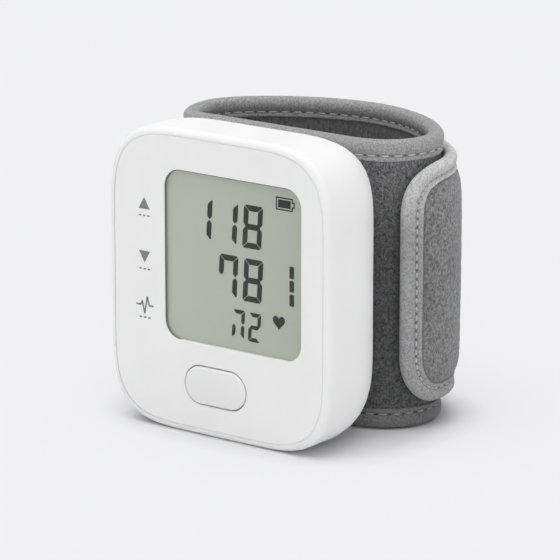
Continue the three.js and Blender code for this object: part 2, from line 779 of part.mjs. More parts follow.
function makeAirSystem() {
  const motor = rod([pumpX, pumpDepth, pumpBottom], [pumpX, pumpDepth, pumpTop], pumpRadius, cylinderSides);
  const bearing = rod(
    [pumpX, pumpDepth, pumpBottom - pumpShaftRadius],
    [pumpX, pumpDepth, pumpBottom + pumpShaftRadius],
    pumpShaftRadius,
  );
  add("pump_motor", motor.add(bearing), steel);

  const headBottom = pumpTop + fit;
  const headTop = pumpHeadTop;
  const half = pumpHeadSize / 2;
  const head = block(pumpX - half, pumpX + half, pumpDepth - half, pumpDepth + half, headBottom, headTop);
  const corners = rod(
    [pumpX, pumpDepth, headBottom - overrun],
    [pumpX, pumpDepth, headTop + overrun],
    half + pumpHeadCorner, cylinderSides,
  );
  const headNozzle = rod(
    [pumpX, pumpDepth, headTop - nozzleLength],
    [pumpX, pumpDepth, headTop + nozzleLength],
    nozzleRadius,
  );
  add("pump_head", head.intersect(corners).add(headNozzle), white);

  const seat = boardBack + fit;
  const valveBottom = valveRise - caseHeight / 2;
  const valveTop = valveBottom + valveHeight;
  const valve = block(
    valveX - valveWidth / 2, valveX + valveWidth / 2, seat, seat + valveWidth, valveBottom, valveTop,
  );
  const valveNozzle = rod(
    [valveX, pumpDepth, valveTop - nozzleLength],
    [valveX, pumpDepth, valveTop + nozzleLength],
    nozzleRadius,
  );
  add("release_valve", valve.add(valveNozzle), darkPlastic);

  const portFront = rearInner - portReach;
  const sensorBack = seat + sensorHeight;
  const middle = [portX, pumpDepth, portZ];
  const branches = [
    { from: [pumpX, pumpDepth, portZ], to: [pumpX, pumpDepth, headTop + fit] },
    { from: [valveX, pumpDepth, portZ], to: [valveX, pumpDepth, valveTop + fit] },
    { from: middle, to: [portX, sensorBack + fit, portZ] },
    { from: middle, to: [portX, portFront + nozzleLength, portZ] },
  ];
  let hose = rod([portX - hoseRadius, pumpDepth, portZ], [pumpX + hoseRadius, pumpDepth, portZ], hoseRadius);
  let bores = rod(middle, [pumpX, pumpDepth, portZ], boreRadius);
  for (const { from, to } of branches) {
    hose = hose.add(rod(from, to, hoseRadius));
    const out = new THREE.Vector3(...to).sub(new THREE.Vector3(...from)).setLength(overrun);
    bores = bores.add(rod(from, out.add(new THREE.Vector3(...to)).toArray(), nozzleRadius + fit));
  }
  add("air_manifold", hose.subtract(bores), silicone);

  const spigotBack = cuffFront - bladderOuter - fit;
  const collarBack = rearInner - fit;
  const nozzle = rod([portX, portFront + fit, portZ], [portX, collarBack, portZ], nozzleRadius);
  const collarFront = collarBack - portCollarHeight;
  const spigot = rod([portX, collarFront, portZ], [portX, spigotBack, portZ], hoseRadius);
  const collar = rod([portX, collarFront, portZ], [portX, collarBack, portZ], portCollarRadius);
  const bore = rod([portX, portFront - overrun, portZ], [portX, spigotBack + overrun, portZ], boreRadius);
  add("cuff_air_port", nozzle.add(spigot).add(collar).subtract(bore), white);
}

function makeSpring(name, x, y, from, to) {
  const height = to - from;
  const steps = springTurns * turnSteps;
  const points = Array.from({ length: steps + 1 }, (_, i) => {
    const share = i / steps;
    const angle = share * springTurns * Math.PI * 2;
    const radius = springRadius + (springTip - springRadius) * share;
    return new THREE.Vector3(
      x + radius * Math.cos(angle), y + radius * Math.sin(angle), from + height * share,
    );
  });
  const wire = new THREE.Shape();
  wire.absarc(0, 0, springWire, 0, Math.PI * 2);
  const geometry = new THREE.ExtrudeGeometry(wire, {
    steps, curveSegments: 6, bevelEnabled: false, extrudePath: new THREE.CatmullRomCurve3(points),
  });
  add(name, toSolid(geometry), steel);
}

// A flat spring-steel contact over one cell's end, or over two ends and the strip between them.
function contactPlate(from, to, z, thickness, grow) {
  const half = contactSize / 2 + grow;
  let plate = block(from.x - half, from.x + half, from.y - half, from.y + half, z, z + thickness);
  if (from === to) return plate;
  plate = plate.add(block(to.x - half, to.x + half, to.y - half, to.y + half, z, z + thickness));
  const length = Math.hypot(to.x - from.x, to.y - from.y);
  const geometry = new THREE.BoxGeometry(length, bridgeWidth + grow * 2, thickness);
  geometry.rotateZ(Math.atan2(to.y - from.y, to.x - from.x));
  geometry.translate((from.x + to.x) / 2, (from.y + to.y) / 2, z + thickness / 2);
  return plate.add(toSolid(geometry));
}

function makeBattery() {
  const trayInset = caseWall + seamGap;
  let tray = caseLoft([
    { inset: ledgeInset + seamGap, y: fasciaThickness + fit },
    { inset: ledgeInset + seamGap, y: ledgeBack + seamGap },
    ...backRounding(trayInset),
  ]);
  tray = tray.intersect(block(-caseWidth, trayEdge, 0, caseDepth, -trayHalf, trayHalf));
  tray = tray.subtract(block(trayStep, caseWidth, -overrun, trayStepDepth, -caseHeight, caseHeight));
  for (const { x, y } of cells) {
    const radius = cellRadius + seamGap;
    tray = tray.subtract(rod([x, y, -bayHalf], [x, y, bayHalf], radius, cylinderSides));
    tray = tray.subtract(block(-caseWidth, x, y - radius, y + radius, -bayHalf, bayHalf));
  }
  const plateInner = bayHalf - fit - contactThickness;
  for (const { name, x, y, side } of cells) {
    const tip = side * (plateInner - fit);
    const shoulder = tip - side * cellNubHeight;
    const base = tip - side * cellLength;
    const can = rod([x, y, base], [x, y, shoulder], cellRadius, cylinderSides);
    const nub = rod([x, y, shoulder - side * cellNubHeight], [x, y, tip], cellNubRadius);
    add(`battery_cell_${name}`, can.add(nub), cellSleeve);
    const springBase = -side * (plateInner - fit - springWire);
    makeSpring(`battery_spring_${name}`, x, y, springBase, base - side * (springWire + fit));
  }

  const low = -bayHalf + fit;
  const [front, back] = cells;
  const contacts = [
    { name: "contact_positive", from: front, to: front, z: plateInner },
    { name: "contact_negative", from: back, to: back, z: plateInner },
    { name: "contact_bridge", from: front, to: back, z: low },
  ];
  for (const { name, from, to, z } of contacts) {
    tray = tray.subtract(contactPlate(from, to, z - fit, contactThickness + fit * 2, fit));
    add(name, contactPlate(from, to, z, contactThickness, 0), steel);
  }
  add("battery_tray", clearOfScrews(tray), darkPlastic);

  let door = caseLoft([{ inset: 0, y: frontFillet }, ...backRounding(0)]);
  door = door.subtract(caseLoft([
    { inset: doorThickness, y: -overrun },
    ...backRounding(doorThickness),
  ]));
  door = door.intersect(doorPrism(0));
  for (let i = 0; i < gripCount; i += 1) {
    const z = -gripBottom - i * gripPitch;
    door = door.subtract(block(
      -caseWidth, -caseWidth / 2 + gripDepth, gripFront, gripFront + gripLength,
      z - gripWidth / 2, z + gripWidth / 2,
    ));
  }
  add("battery_door", door, white);
}

function cutPortHoles(solid, radius, front, back) {
  let cut = solid;
  for (const { x, z } of cuffScrewPlaces) cut = cut.subtract(rod([x, front, z], [x, back, z], radius));
  return cut.subtract(rod([portX, front, portZ], [portX, back, portZ], hoseRadius + seamGap));
}

function makeCuff() {
  const layers = [
    { layer: "cover", material: felt, outer: 0, inner: -coverThickness, margin: 0, skip: 0 },
    {
      layer: "curler", material: white, outer: curlerOuter, inner: curlerInner,
      margin: curlerMargin, skip: 1,
    },
    {
      layer: "bladder", material: bladderFilm, outer: bladderOuter, inner: bladderInner,
      margin: bladderMargin, skip: 2,
    },
    { layer: "lining", material: liningCloth, outer: liningOuter, inner: wallInner, margin: 0, skip: 0 },
  ];
  for (const { layer, material, outer, inner, margin, skip } of layers) {
    const bottom = wallBottom + margin;
    const top = wallTop - margin;
    const middle = (stations) => stations.slice(skip, stations.length - skip);
    let fixed = strip(middle(fixedStations), outer, inner, bottom, top);
    if (layer === "cover") {
      fixed = cutPortHoles(fixed, cuffBossRadius + seamGap, cuffFront - overrun, cuffFront + overrun);
    }
    if (layer === "curler") {
      const pilot = rearInner + cuffScrewLength + fit;
      for (const { x, z } of cuffScrewPlaces) {
        fixed = fixed.add(rod([x, caseDepth + fit, z], [x, pilot + fit, z], cuffBossRadius));
        fixed = fixed.subtract(rod([x, caseDepth - overrun, z], [x, pilot, z], screwRadius + fit));
      }
      fixed = fixed.subtract(rod(
        [portX, cuffFront, portZ], [portX, cuffFront + overrun, portZ], hoseRadius + seamGap,
      ));
    }
    add(`cuff_${layer}`, fixed, material);
    add(`cuff_arm_${layer}`, strip(middle(armStations), outer, inner, bottom, top), material);
  }
  bindings("cuff", fixedStations);
  bindings("cuff_arm", armStations);
  cuffScrewPlaces.forEach(({ x, z }, i) => {
    makeScrew(`cuff_screw_${i + 1}`, x, z, rearInner - fit, cuffScrewLength);
  });
}

// Upper and lower edge of the strap at a distance from its tip, drawn in by the inset.
const strapTop = cuffTop - strapTopDrop;
const strapBottom = cuffBottom + strapBottomRise;

function strapEdges(fromTip, inset) {
  const corner = (reach, rise) => {
    const run = reach - inset;
    const along = Math.min(Math.max(fromTip - inset, 0) / run, 1);
    return (rise - inset) * Math.sqrt(1 - (1 - along) ** 2);
  };
  return {
    top: strapTop - tipTopRise + corner(tipTopReach, tipTopRise),
    bottom: strapBottom + tipBottomRise - corner(tipBottomReach, tipBottomRise),
  };
}

// Distances from the tip at which the strap is drawn, close together round its corners.
const strapLength = loopSeam + seamGap - strapTip;
const strapStations = Array.from({ length: strapSteps + 1 }, (_, i) => (
  strapLength * (i / strapSteps) ** 2
));

// The padded middle of the strap, rising from the binding's level to a soft crown.
function strapCrown(inset, outer, inner) {
  const beyond = strapStations.filter((distance) => distance > inset + crownRoll);
  const distances = [inset, inset + crownRoll / 2, ...beyond];
  const sections = distances.map((distance) => {
    const { top, bottom } = strapEdges(distance, inset);
    const face = crownShares.map((share) => {
      const fromEdge = Math.min(share, 1 - share) * (top - bottom);
      const fromEnds = Math.min(distance - inset, strapLength - distance);
      const rise = Math.min(fromEdge / crownRoll, fromEnds / crownRoll, 1);
      return new THREE.Vector2(
        outer + crownRise * Math.sqrt(1 - (1 - rise) ** 2), bottom + (top - bottom) * share,
      );
    });
    return [...face, new THREE.Vector2(inner, top), new THREE.Vector2(inner, bottom)];
  });
  const rings = sections.map((section, i) => (
    section.map((point) => wrap(strapTip + distances[i], point.y, point.x))
  ));
  return loft(rings, sections[2]);
}

// A plate of the strap's outline, drawn in by the inset. One that cuts another runs on past the seam.
function strapPlate(inset, outer, inner, past = 0) {
  const distances = [inset, ...strapStations.filter((distance) => distance > inset + fit)];
  if (past > 0) distances.push(strapLength + past);
  const corners = ({ top, bottom }) => [
    new THREE.Vector2(outer, bottom), new THREE.Vector2(outer, top),
    new THREE.Vector2(inner, top), new THREE.Vector2(inner, bottom),
  ];
  const sections = distances.map((distance) => corners(strapEdges(distance, inset)));
  const rings = sections.map((section, i) => (
    section.map((point) => wrap(strapTip + distances[i], point.y, point.x))
  ));
  return loft(rings, sections[0]);
}

function makeStrap() {
  const inner = strapGap;
  const outer = strapGap + strapThickness;
  const fold = strapBindingThickness + fit;
  const hem = strapBindingThickness * 2;
  const core = strapPlate(hem + fit, outer - fold, inner + fold);
  add("strap_panel", core.add(strapCrown(strapBindingWidth + seamGap, outer, inner + fold)), felt);
  const tape = strapPlate(0, outer, inner)
    .subtract(strapPlate(hem, outer - strapBindingThickness, inner + strapBindingThickness, overrun))
    .subtract(strapPlate(strapBindingWidth, outer + overrun, inner - overrun, overrun));
  add("strap_binding", tape, bindingTape);
  const patchOuter = inner + fold - fit;
  const patchStations = stationsBetween(strapTip + hookStart, strapTip + hookStart + hookLength);
  const patchTop = strapTop - hookInset;
  const patchBottom = strapBottom + hookInset;
  const patch = strip(patchStations, patchOuter, patchOuter - hookThickness, patchBottom, patchTop);
  add("hook_patch", patch, hookTape);
  const rootStations = stationsBetween(loopSeam + seamGap * 2, strapRoot);
  const rootTop = cuffTop - topBindingReach - seamGap;
  add("strap_root", strip(rootStations, outer, seamGap, strapBottom, rootTop), felt);
}

add("housing_shell", makeShell(), white);
add("fascia", makeFascia(), fasciaWhite);
add("start_button", makeButton(), buttonGrey);
makeSwitch();
makeDisplay();
makeBoard();
makeAirSystem();
makeBattery();
makeCuff();
makeStrap();

export default assembly;
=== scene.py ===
import math

import bmesh
import bpy
import numpy as np
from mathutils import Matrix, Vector, noise


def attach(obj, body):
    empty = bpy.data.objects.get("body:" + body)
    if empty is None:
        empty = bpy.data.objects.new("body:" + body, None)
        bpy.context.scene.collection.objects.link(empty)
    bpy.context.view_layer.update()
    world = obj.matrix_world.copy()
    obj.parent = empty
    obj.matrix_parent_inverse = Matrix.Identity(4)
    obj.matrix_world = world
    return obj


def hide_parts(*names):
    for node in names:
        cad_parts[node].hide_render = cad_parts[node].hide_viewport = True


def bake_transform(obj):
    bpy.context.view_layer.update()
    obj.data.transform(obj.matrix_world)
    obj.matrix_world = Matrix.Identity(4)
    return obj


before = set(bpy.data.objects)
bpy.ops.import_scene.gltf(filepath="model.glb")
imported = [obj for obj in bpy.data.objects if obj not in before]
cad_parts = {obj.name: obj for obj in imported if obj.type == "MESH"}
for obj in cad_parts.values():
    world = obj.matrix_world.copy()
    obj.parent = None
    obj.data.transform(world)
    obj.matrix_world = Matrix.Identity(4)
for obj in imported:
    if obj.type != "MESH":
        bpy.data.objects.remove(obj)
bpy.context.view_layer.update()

bl_info = {
    "name": "Wrist blood pressure monitor",
    "version": (1, 0, 0),
    "blender": (4, 5, 0),
    "location": "View3D > Sidebar > Monitor",
    "description": "Dresses the packed wrist monitor: moulded case, display, felt cuff and closing strap",
    "category": "Object",
}

MM = 0.001
# The middle of the fascia's front, in mm from the point on the table under the case.
FASCIA_FRONT = -5.75
FASCIA_MIDDLE = 36.8
# Middles of the window and the button, and their openings as width, height and corner, in mm.
WINDOW_SPOT, WINDOW = (4.4, 6.4), (40.1, 41.2, 4.5)
BUTTON_SPOT, BUTTON_HOLE = (-0.7, -24.3), (18.4, 9.7, 4.845)
# The plain floor and backdrop as the camera sees them.
PALE = (0.888, 0.888, 0.905)


# ------------------------------------------------------------------ sizes and colours that a user would change

def length(name, description, default):
    """A length in metres, shown in the scene's own unit."""
    return bpy.props.FloatProperty(name=name, description=description, default=default,
                                   unit="LENGTH", subtype="DISTANCE", precision=5)


def tint(name, description, default):
    """A surface colour."""
    return bpy.props.FloatVectorProperty(name=name, description=description, default=default,
                                         size=3, subtype="COLOR", min=0, max=1)


def level(name, description, default, most):
    """A share, or the strength of a light."""
    return bpy.props.FloatProperty(name=name, description=description, default=default, min=0, max=most)


class CaseSettings(bpy.types.PropertyGroup):
    width: length("Width", "Case across the front", 0.065)
    height: length("Height", "Case from foot to top", 0.0736)
    depth: length("Depth", "Case from front rim to back", 0.0264)
    corner: length("Corner reach", "How far each rounded corner reaches along the sides", 0.024)
    fillet: length("Front rounding", "Rounding between the sides and the front rim", 0.0017)
    back_rounding: length("Back rounding", "How far the back draws in", 0.0104)
    fascia_edge: length("Fascia edge", "Rounding of the fascia's own rim", 0.00012)
    window_edge: length("Window edge", "Rounding where the fascia turns into the window", 0.0002)
    button_crown: length("Button crown", "Rise of the button's middle over its rim", 0.00018)


class CuffSettings(bpy.types.PropertyGroup):
    felt_nap: length("Felt nap", "Height of the felt's surface grain", 0.00011)
    bead: length("Rim bead", "How far the folded tape bulges over the cuff's face", 0.00062)
    rim_pitch: length("Rim stitch", "Distance between stitches on the cuff's rims", 0.0032)
    strap_pitch: length("Strap stitch", "Distance between stitches on the strap", 0.0021)
    thread: length("Thread radius", "Half the thickness of the sewing thread", 0.00017)
    strap_crown: length("Strap crown", "How far the padded middle of the strap rises", 0.0020)


class FinishSettings(bpy.types.PropertyGroup):
    case: tint("Case", "Moulded case and fascia", (0.86, 0.86, 0.858))
    button: tint("Button", "Moulded button", (0.82, 0.82, 0.82))
    display: tint("Display", "Unlit display glass", (0.452, 0.490, 0.416))
    segment: tint("Segments", "Lit figures on the display", (0.012, 0.017, 0.013))
    felt: tint("Cuff felt", "Outer cloth of the cuff", (0.082, 0.082, 0.083))
    strap_felt: tint("Strap felt", "Padded cloth of the strap", (0.215, 0.215, 0.215))
    tape: tint("Folded tape", "Tape over the upper rim", (0.355, 0.355, 0.357))
    strap_tape: tint("Strap tape", "Tape round the strap", (0.40, 0.40, 0.402))
    # The foot tape's colour is darker than the upper tape's: painted shade where the case and the strap keep the light
    # off the lower rim.
    shaded_foot_tape: tint("Foot tape", "Tape over the lower rim, darkened as painted shade", (0.17, 0.17, 0.171))
    lining: tint("Lining", "Inner cloth of the cuff", (0.165, 0.165, 0.168))


class StageSettings(bpy.types.PropertyGroup):
    floor: tint("Floor", "Plain floor under the monitor", (0.755, 0.755, 0.769))
    pale: level("Pale floor", "Share of the floor seen in its plain pale colour", 0.7, 1)
    horizon: level("Surround", "Strength of the light from the sides", 1.78, 8)
    overhead: level("Overhead", "Strength of the light from straight above", 3.68, 8)
    key: level("Key", "Strength of the large light above the front left", 0.26, 20)
    front: level("Front", "Strength of the low light from the front right", 0.4, 20)


def settings():
    """The sizes of the case and of the cuff."""
    return bpy.context.scene.monitor_case, bpy.context.scene.monitor_cuff


def finishes():
    """The colours of all surfaces."""
    return bpy.context.scene.monitor_finish


# ------------------------------------------------------------------ rigid pieces: rings, bridged as by hand

def deselect():
    """Leaves edit mode and clears the selection."""
    if bpy.context.object and bpy.context.object.mode != "OBJECT":
        bpy.ops.object.mode_set(mode="OBJECT")
    bpy.ops.object.select_all(action="DESELECT")


def edit_all():
    """Opens the active piece for editing, with all of it selected."""
    bpy.ops.object.mode_set(mode="EDIT")
    bpy.ops.mesh.select_all(action="SELECT")


def place(x, y, z):
    """A point given in mm from the fascia's middle, in the frame's metres."""
    return Vector((x, y + FASCIA_FRONT, z + FASCIA_MIDDLE)) * MM


def add_ring(centre, y, width, height, corner, profile, segments):
    """One rounded outline at the depth y, all in mm, left selected as a loop of edges in edit mode."""
    spot = place(centre[0], y, centre[1])
    bpy.ops.mesh.primitive_plane_add(size=width * MM, location=spot, rotation=(math.pi / 2, 0, 0))
    bpy.ops.transform.resize(value=(1, 1, height / width), center_override=spot)
    bpy.ops.mesh.bevel(affect="VERTICES", offset_type="ABSOLUTE", offset=corner * MM,
                       segments=segments, profile=profile)
    bpy.ops.mesh.delete(type="ONLY_FACE")


def loft(name, rings, centre=(0, 0), profile=0.5, segments=12):
    """A closed body through rings of (y, width, height, corner), in mm, with a flat face at each end."""
    deselect()
    bpy.ops.mesh.primitive_plane_add(size=MM, location=(0, 0, 0))
    body = bpy.context.object
    body.name = body.data.name = name
    edit_all()
    bpy.ops.mesh.delete(type="VERT")
    count = 4 * (segments + 1)
    for i, (y, width, height, corner) in enumerate(rings):
        add_ring(centre, y, width, height, corner, profile, segments)
        if i == 0:
            continue
        mesh = bmesh.from_edit_mesh(body.data)
        mesh.verts.index_update()
        start = len(mesh.verts) - 2 * count
        for index, vert in enumerate(mesh.verts):
            vert.select = index >= start
        mesh.select_flush_mode()
        for face in mesh.faces:
            face.select = False
        for edge in mesh.edges:
            edge.select = min(vert.index for vert in edge.verts) >= start
        bmesh.update_edit_mesh(body.data)
        bpy.ops.mesh.bridge_edge_loops()
    bpy.ops.mesh.select_all(action="SELECT")
    bpy.ops.mesh.fill_holes(sides=0)
    bpy.ops.mesh.select_all(action="SELECT")
    bpy.ops.mesh.normals_make_consistent(inside=False)
    bpy.ops.object.mode_set(mode="OBJECT")
    bpy.ops.object.transform_apply(location=True, rotation=True, scale=True)
    if len(body.data.polygons) != count * (len(rings) - 1) + 2:
        raise RuntimeError(name + ": the rings didn't bridge")
    return body


def take(piece):
    """Makes a piece the only selected one, and the active one."""
    deselect()
    piece.select_set(True)
    bpy.context.view_layer.objects.active = piece


def apply_step(piece, kind, **values):
    """Adds one modifier with the given values and applies it."""
    take(piece)
    step = piece.modifiers.new(kind, kind)
    for key, value in values.items():
        setattr(step, key, value)
    bpy.ops.object.modifier_apply(modifier=step.name)
    return piece


def combine(body, tool, operation):
    """Cuts, keeps or joins one closed body with another, and removes the tool."""
    apply_step(body, "BOOLEAN", operation=operation, solver="EXACT", object=tool)
    bpy.data.objects.remove(tool)
    return body


def smooth(body, angle):
    """Smooth shading up to an angle in degrees, with the large flat faces kept flat."""
    take(body)
    bpy.ops.object.shade_smooth_by_angle(angle=math.radians(angle))
    return apply_step(body, "WEIGHTED_NORMAL", keep_sharp=True)


def put(name, data, facing=None):
    """Puts a mesh, a lamp or the camera into the scene, the last two facing along a direction."""
    made = bpy.data.objects.new(name, data)
    bpy.context.scene.collection.objects.link(made)
    if facing is not None:
        made.rotation_mode = "QUATERNION"
        made.rotation_quaternion = Vector(facing).to_track_quat("-Z", "Y")
    return made


def mesh_piece(name, points, faces):
    """A new piece from points in metres and faces."""
    mesh = bpy.data.meshes.new(name)
    mesh.from_pydata(points, [], faces)
    mesh.validate()
    return put(name, mesh)


def tube_faces(start, stops, sides):
    """Faces of a closed tube whose points begin at an index: rings of so many sides, with both ends shut."""
    last = start + (stops - 1) * sides
    faces = [tuple(reversed(range(start, start + sides))), tuple(range(last, last + sides))]
    for first in range(start, last, sides):
        for side in range(sides):
            following = (side + 1) % sides
            faces.append((first + side, first + following, first + sides + following, first + sides + side))
    return faces


def outwards(piece, angle=0):
    """Turns a closed piece's faces outwards, and smooths its shading up to an angle in degrees."""
    take(piece)
    edit_all()
    bpy.ops.mesh.normals_make_consistent(inside=False)
    bpy.ops.object.mode_set(mode="OBJECT")
    if angle:
        bpy.ops.object.shade_smooth_by_angle(angle=math.radians(angle))
    return piece


def block(name, low, high, corner):
    """A block between two corners in mm, with its edges along x rounded."""
    deselect()
    middle = place(*((a + b) / 2 for a, b in zip(low, high)))
    bpy.ops.mesh.primitive_cube_add(size=MM, location=middle)
    made = bpy.context.object
    made.name = made.data.name = name
    edit_all()
    bpy.ops.transform.resize(value=[b - a for a, b in zip(low, high)], center_override=middle)
    mesh = bmesh.from_edit_mesh(made.data)
    for item in (*mesh.faces, *mesh.verts):
        item.select = False
    for edge in mesh.edges:
        along = edge.verts[0].co - edge.verts[1].co
        edge.select = abs(along.x) > 0.999 * along.length
    bmesh.update_edit_mesh(made.data)
    bpy.ops.mesh.bevel(offset=corner * MM, segments=8, profile=0.5, affect="EDGES")
    bpy.ops.object.mode_set(mode="OBJECT")
    bpy.ops.object.transform_apply(location=True, rotation=True, scale=True)
    return made


def finish_piece(piece, body, slot, material, replaced=()):
    """Gives a piece its finish, hides the plain solids that it stands for and lets it ride."""
    piece.data.materials.clear()
    piece.data.materials.append(material)
    if replaced:
        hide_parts(*replaced)
    if body:
        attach(piece, body)
    return piece


SQUIRCLE = (2 ** (-1 / 3.5)) ** 2


def case_rings(wall):
    """Rings of the case's rounded back, drawn in by the wall: (inset, y) from the flat side to the back."""
    case, _ = settings()
    depth, inset = case.depth / MM, case.back_rounding / MM
    flat = 9.8
    turns = [math.radians(9 * step) for step in range(11)]
    return [(wall + (inset - wall) * (1 - math.cos(t)), flat + (depth - flat - wall) * math.sin(t)) for t in turns]


def outline(inset, y):
    """One ring of the case's outline at the depth y, drawn in by the inset, in mm."""
    case, _ = settings()
    return (y, case.width / MM - 2 * inset, case.height / MM - 2 * inset, case.corner / MM - inset)


def shell_between(name, wall, front_rings):
    """A shell from its inner back, over the given front rings, to its outer back."""
    inner = [outline(inset, y) for inset, y in reversed(case_rings(wall))]
    outer = [outline(inset, y) for inset, y in case_rings(0)]
    middle = [outline(inset, y) for inset, y in front_rings]
    return loft(name, inner + middle + outer, profile=SQUIRCLE, segments=16)


def rolled(edge, width, height, corner):
    """Rings of an opening in mm, whose wall rounds out to the front, up to clear of the front."""
    rings = [(edge, width, height, corner)]
    for turn in (0.4, 0.8, 1.2, 1.57):
        grow = edge * (1 - math.cos(turn))
        rings.append((edge * (1 - math.sin(turn)), width + 2 * grow, height + 2 * grow, corner + grow))
    return rings + [(-0.2, width + 2 * edge, height + 2 * edge, corner + edge)]


# ------------------------------------------------------------------ finishes

class Nodes:
    """The nodes of one finish, or of the surround, made with short calls."""

    def __init__(self, tree):
        self.tree = tree
        tree.nodes.clear()

    def feed(self, socket, value):
        """Links another node's output to a socket, or sets the socket's own value."""
        if isinstance(value, bpy.types.NodeSocket):
            self.tree.links.new(value, socket)
        else:
            socket.default_value = (*value, 1) if socket.type == "RGBA" else value

    def add(self, kind, inputs=None, **values):
        made = self.tree.nodes.new("ShaderNode" + kind)
        for key, value in values.items():
            setattr(made, key, value)
        for key, value in (inputs or {}).items():
            self.feed(made.inputs[key], value)
        return made

    def axes(self, source="Object"):
        """The piece's own coordinates in metres, or its map's in mm, each by itself."""
        return self.add("SeparateXYZ", {0: self.add("TexCoord").outputs[source]}).outputs

    def maths(self, operation, a, b=0.5, clamp=False):
        return self.add("Math", {0: a, 1: b}, operation=operation, use_clamp=clamp).outputs[0]

    def spread(self, value, low, high, start=0.3, end=0.7, kind="LINEAR"):
        """Maps a value's range from start to end onto low to high."""
        inputs = {"Value": value, "From Min": start, "From Max": end, "To Min": low, "To Max": high}
        return self.add("MapRange", inputs, interpolation_type=kind).outputs["Result"]

    def grain(self, scale, detail=3.0, stretch=(1, 1, 1), roughness=0.6):
        """Fractal grain in the piece's own coordinates; scale is in bumps per metre."""
        turn = self.add("Mapping", {"Vector": self.add("TexCoord").outputs["Object"], "Scale": stretch})
        inputs = {"Vector": turn.outputs[0], "Scale": scale, "Detail": detail, "Roughness": roughness}
        return self.add("TexNoise", inputs).outputs["Fac"]

    def mix(self, share, first, second, kind="MIX"):
        return self.add("Mix", {0: share, 6: first, 7: second}, data_type="RGBA", blend_type=kind).outputs[2]

    def paler(self, colour, foot, top, low, high):
        """A colour times a share that rises from foot to top between two heights in metres: painted light from above,
        lighter high up and darker low down.
        """
        share = self.spread(self.axes()["Z"], foot, top, low, high, "SMOOTHSTEP")
        return self.add("VectorMath", {0: colour, "Scale": share}, operation="SCALE").outputs[0]


class Finish(Nodes):
    """A procedural finish: one surface, whose sockets are fed by name."""

    def __init__(self, name, sockets):
        self.material = bpy.data.materials.new(name)
        self.material.use_nodes = True
        super().__init__(self.material.node_tree)
        self.surface = self.add("BsdfPrincipled")
        self.output = self.add("OutputMaterial", {"Surface": self.surface.outputs[0]})
        self.dress(sockets)

    def dress(self, sockets):
        for key, value in sockets.items():
            self.feed(self.surface.inputs[key], value)

    def bump(self, height, distance, strength=1.0, before=None):
        """Raises the surface by a height pattern, up to a distance in mm, over a bump made before."""
        made = self.add("Bump", {"Height": height, "Distance": distance * MM, "Strength": strength})
        if before:
            self.feed(made.inputs["Normal"], before)
        self.dress({"Normal": made.outputs[0]})
        return made.outputs[0]


def scaled(colour, share):
    """A darker or lighter shade of a colour."""
    return tuple(min(1.0, c * share) for c in colour[:3])


def mottled(name, scale, first, second, start=0.3, specular=0.5):
    """Plain matt colour that wanders between two tones."""
    finish = Finish(name, {"Roughness": 0.5, "Specular IOR Level": specular})
    finish.dress({"Base Color": finish.mix(finish.spread(finish.grain(scale, 2.0), 0, 1, start), first, second)})
    return finish.material


def moulded(name, colour, roughness=0.48, texture=0.012):
    """Injection-moulded plastic: fine spark texture, slow flow marks and slightly polished high spots."""
    finish = Finish(name, {"Specular IOR Level": 0.32})
    slow = finish.grain(60)
    tone = finish.mix(finish.spread(slow, 0, 1), scaled(colour, 0.985), scaled(colour, 1.015))
    finish.dress({"Base Color": tone, "Roughness": finish.spread(slow, roughness - 0.05, roughness + 0.05)})
    finish.bump(finish.grain(9000, 2.0), texture)
    return finish.material


def steel_finish(name):
    """Plain steel with drawn marks."""
    steel = (0.58, 0.57, 0.55)
    finish = Finish(name, {"Metallic": 1.0})
    marks = finish.grain(3000, 4.0, (1, 1, 0.2))
    tone = finish.mix(finish.spread(finish.grain(250), 0, 1), scaled(steel, 0.9), scaled(steel, 1.06))
    finish.dress({"Base Color": tone, "Roughness": finish.spread(marks, 0.22, 0.40)})
    finish.bump(marks, 0.01)
    return finish.material


def felt(name, colour, light=2.3, dark=0.25, streak=0.8, painted_top_light=(0.8, 1.6), sheen=0.25):
    """Brushed felt: matted fibres, heathered light and dark, and painted light from above that makes it lighter towards
    the upper rim.
    """
    finish = Finish(name, {"Roughness": 0.95, "Specular IOR Level": 0.2, "Sheen Weight": sheen,
                           "Sheen Roughness": 0.6, "Sheen Tint": (0.8, 0.8, 0.82)})
    clumps = finish.grain(1350, 5.0, (1, 1, 0.85), 0.85)
    fibres = finish.grain(2600, 4.0, (1, 1, streak), 0.85)
    mixed = finish.maths("ADD", finish.maths("MULTIPLY", clumps, 0.55), finish.maths("MULTIPLY", fibres, 0.45))
    heather = finish.mix(finish.spread(mixed, 0, 1, 0.42, 0.60), scaled(colour, dark), scaled(colour, light))
    broad = finish.spread(finish.grain(130, 3.0, (1, 1, 0.6)), 0, 1)
    # Painted light from above: the felt's colour is scaled from darker at the foot to lighter at the top.
    shade = finish.paler(finish.mix(broad, (0.90,) * 3, (1.08,) * 3), *painted_top_light, 0.042, 0.066)
    finish.dress({"Base Color": finish.mix(1.0, heather, shade, "MULTIPLY")})
    finish.bump(clumps, 0.35, 0.6, finish.bump(fibres, 0.16, 0.8))
    return finish.material


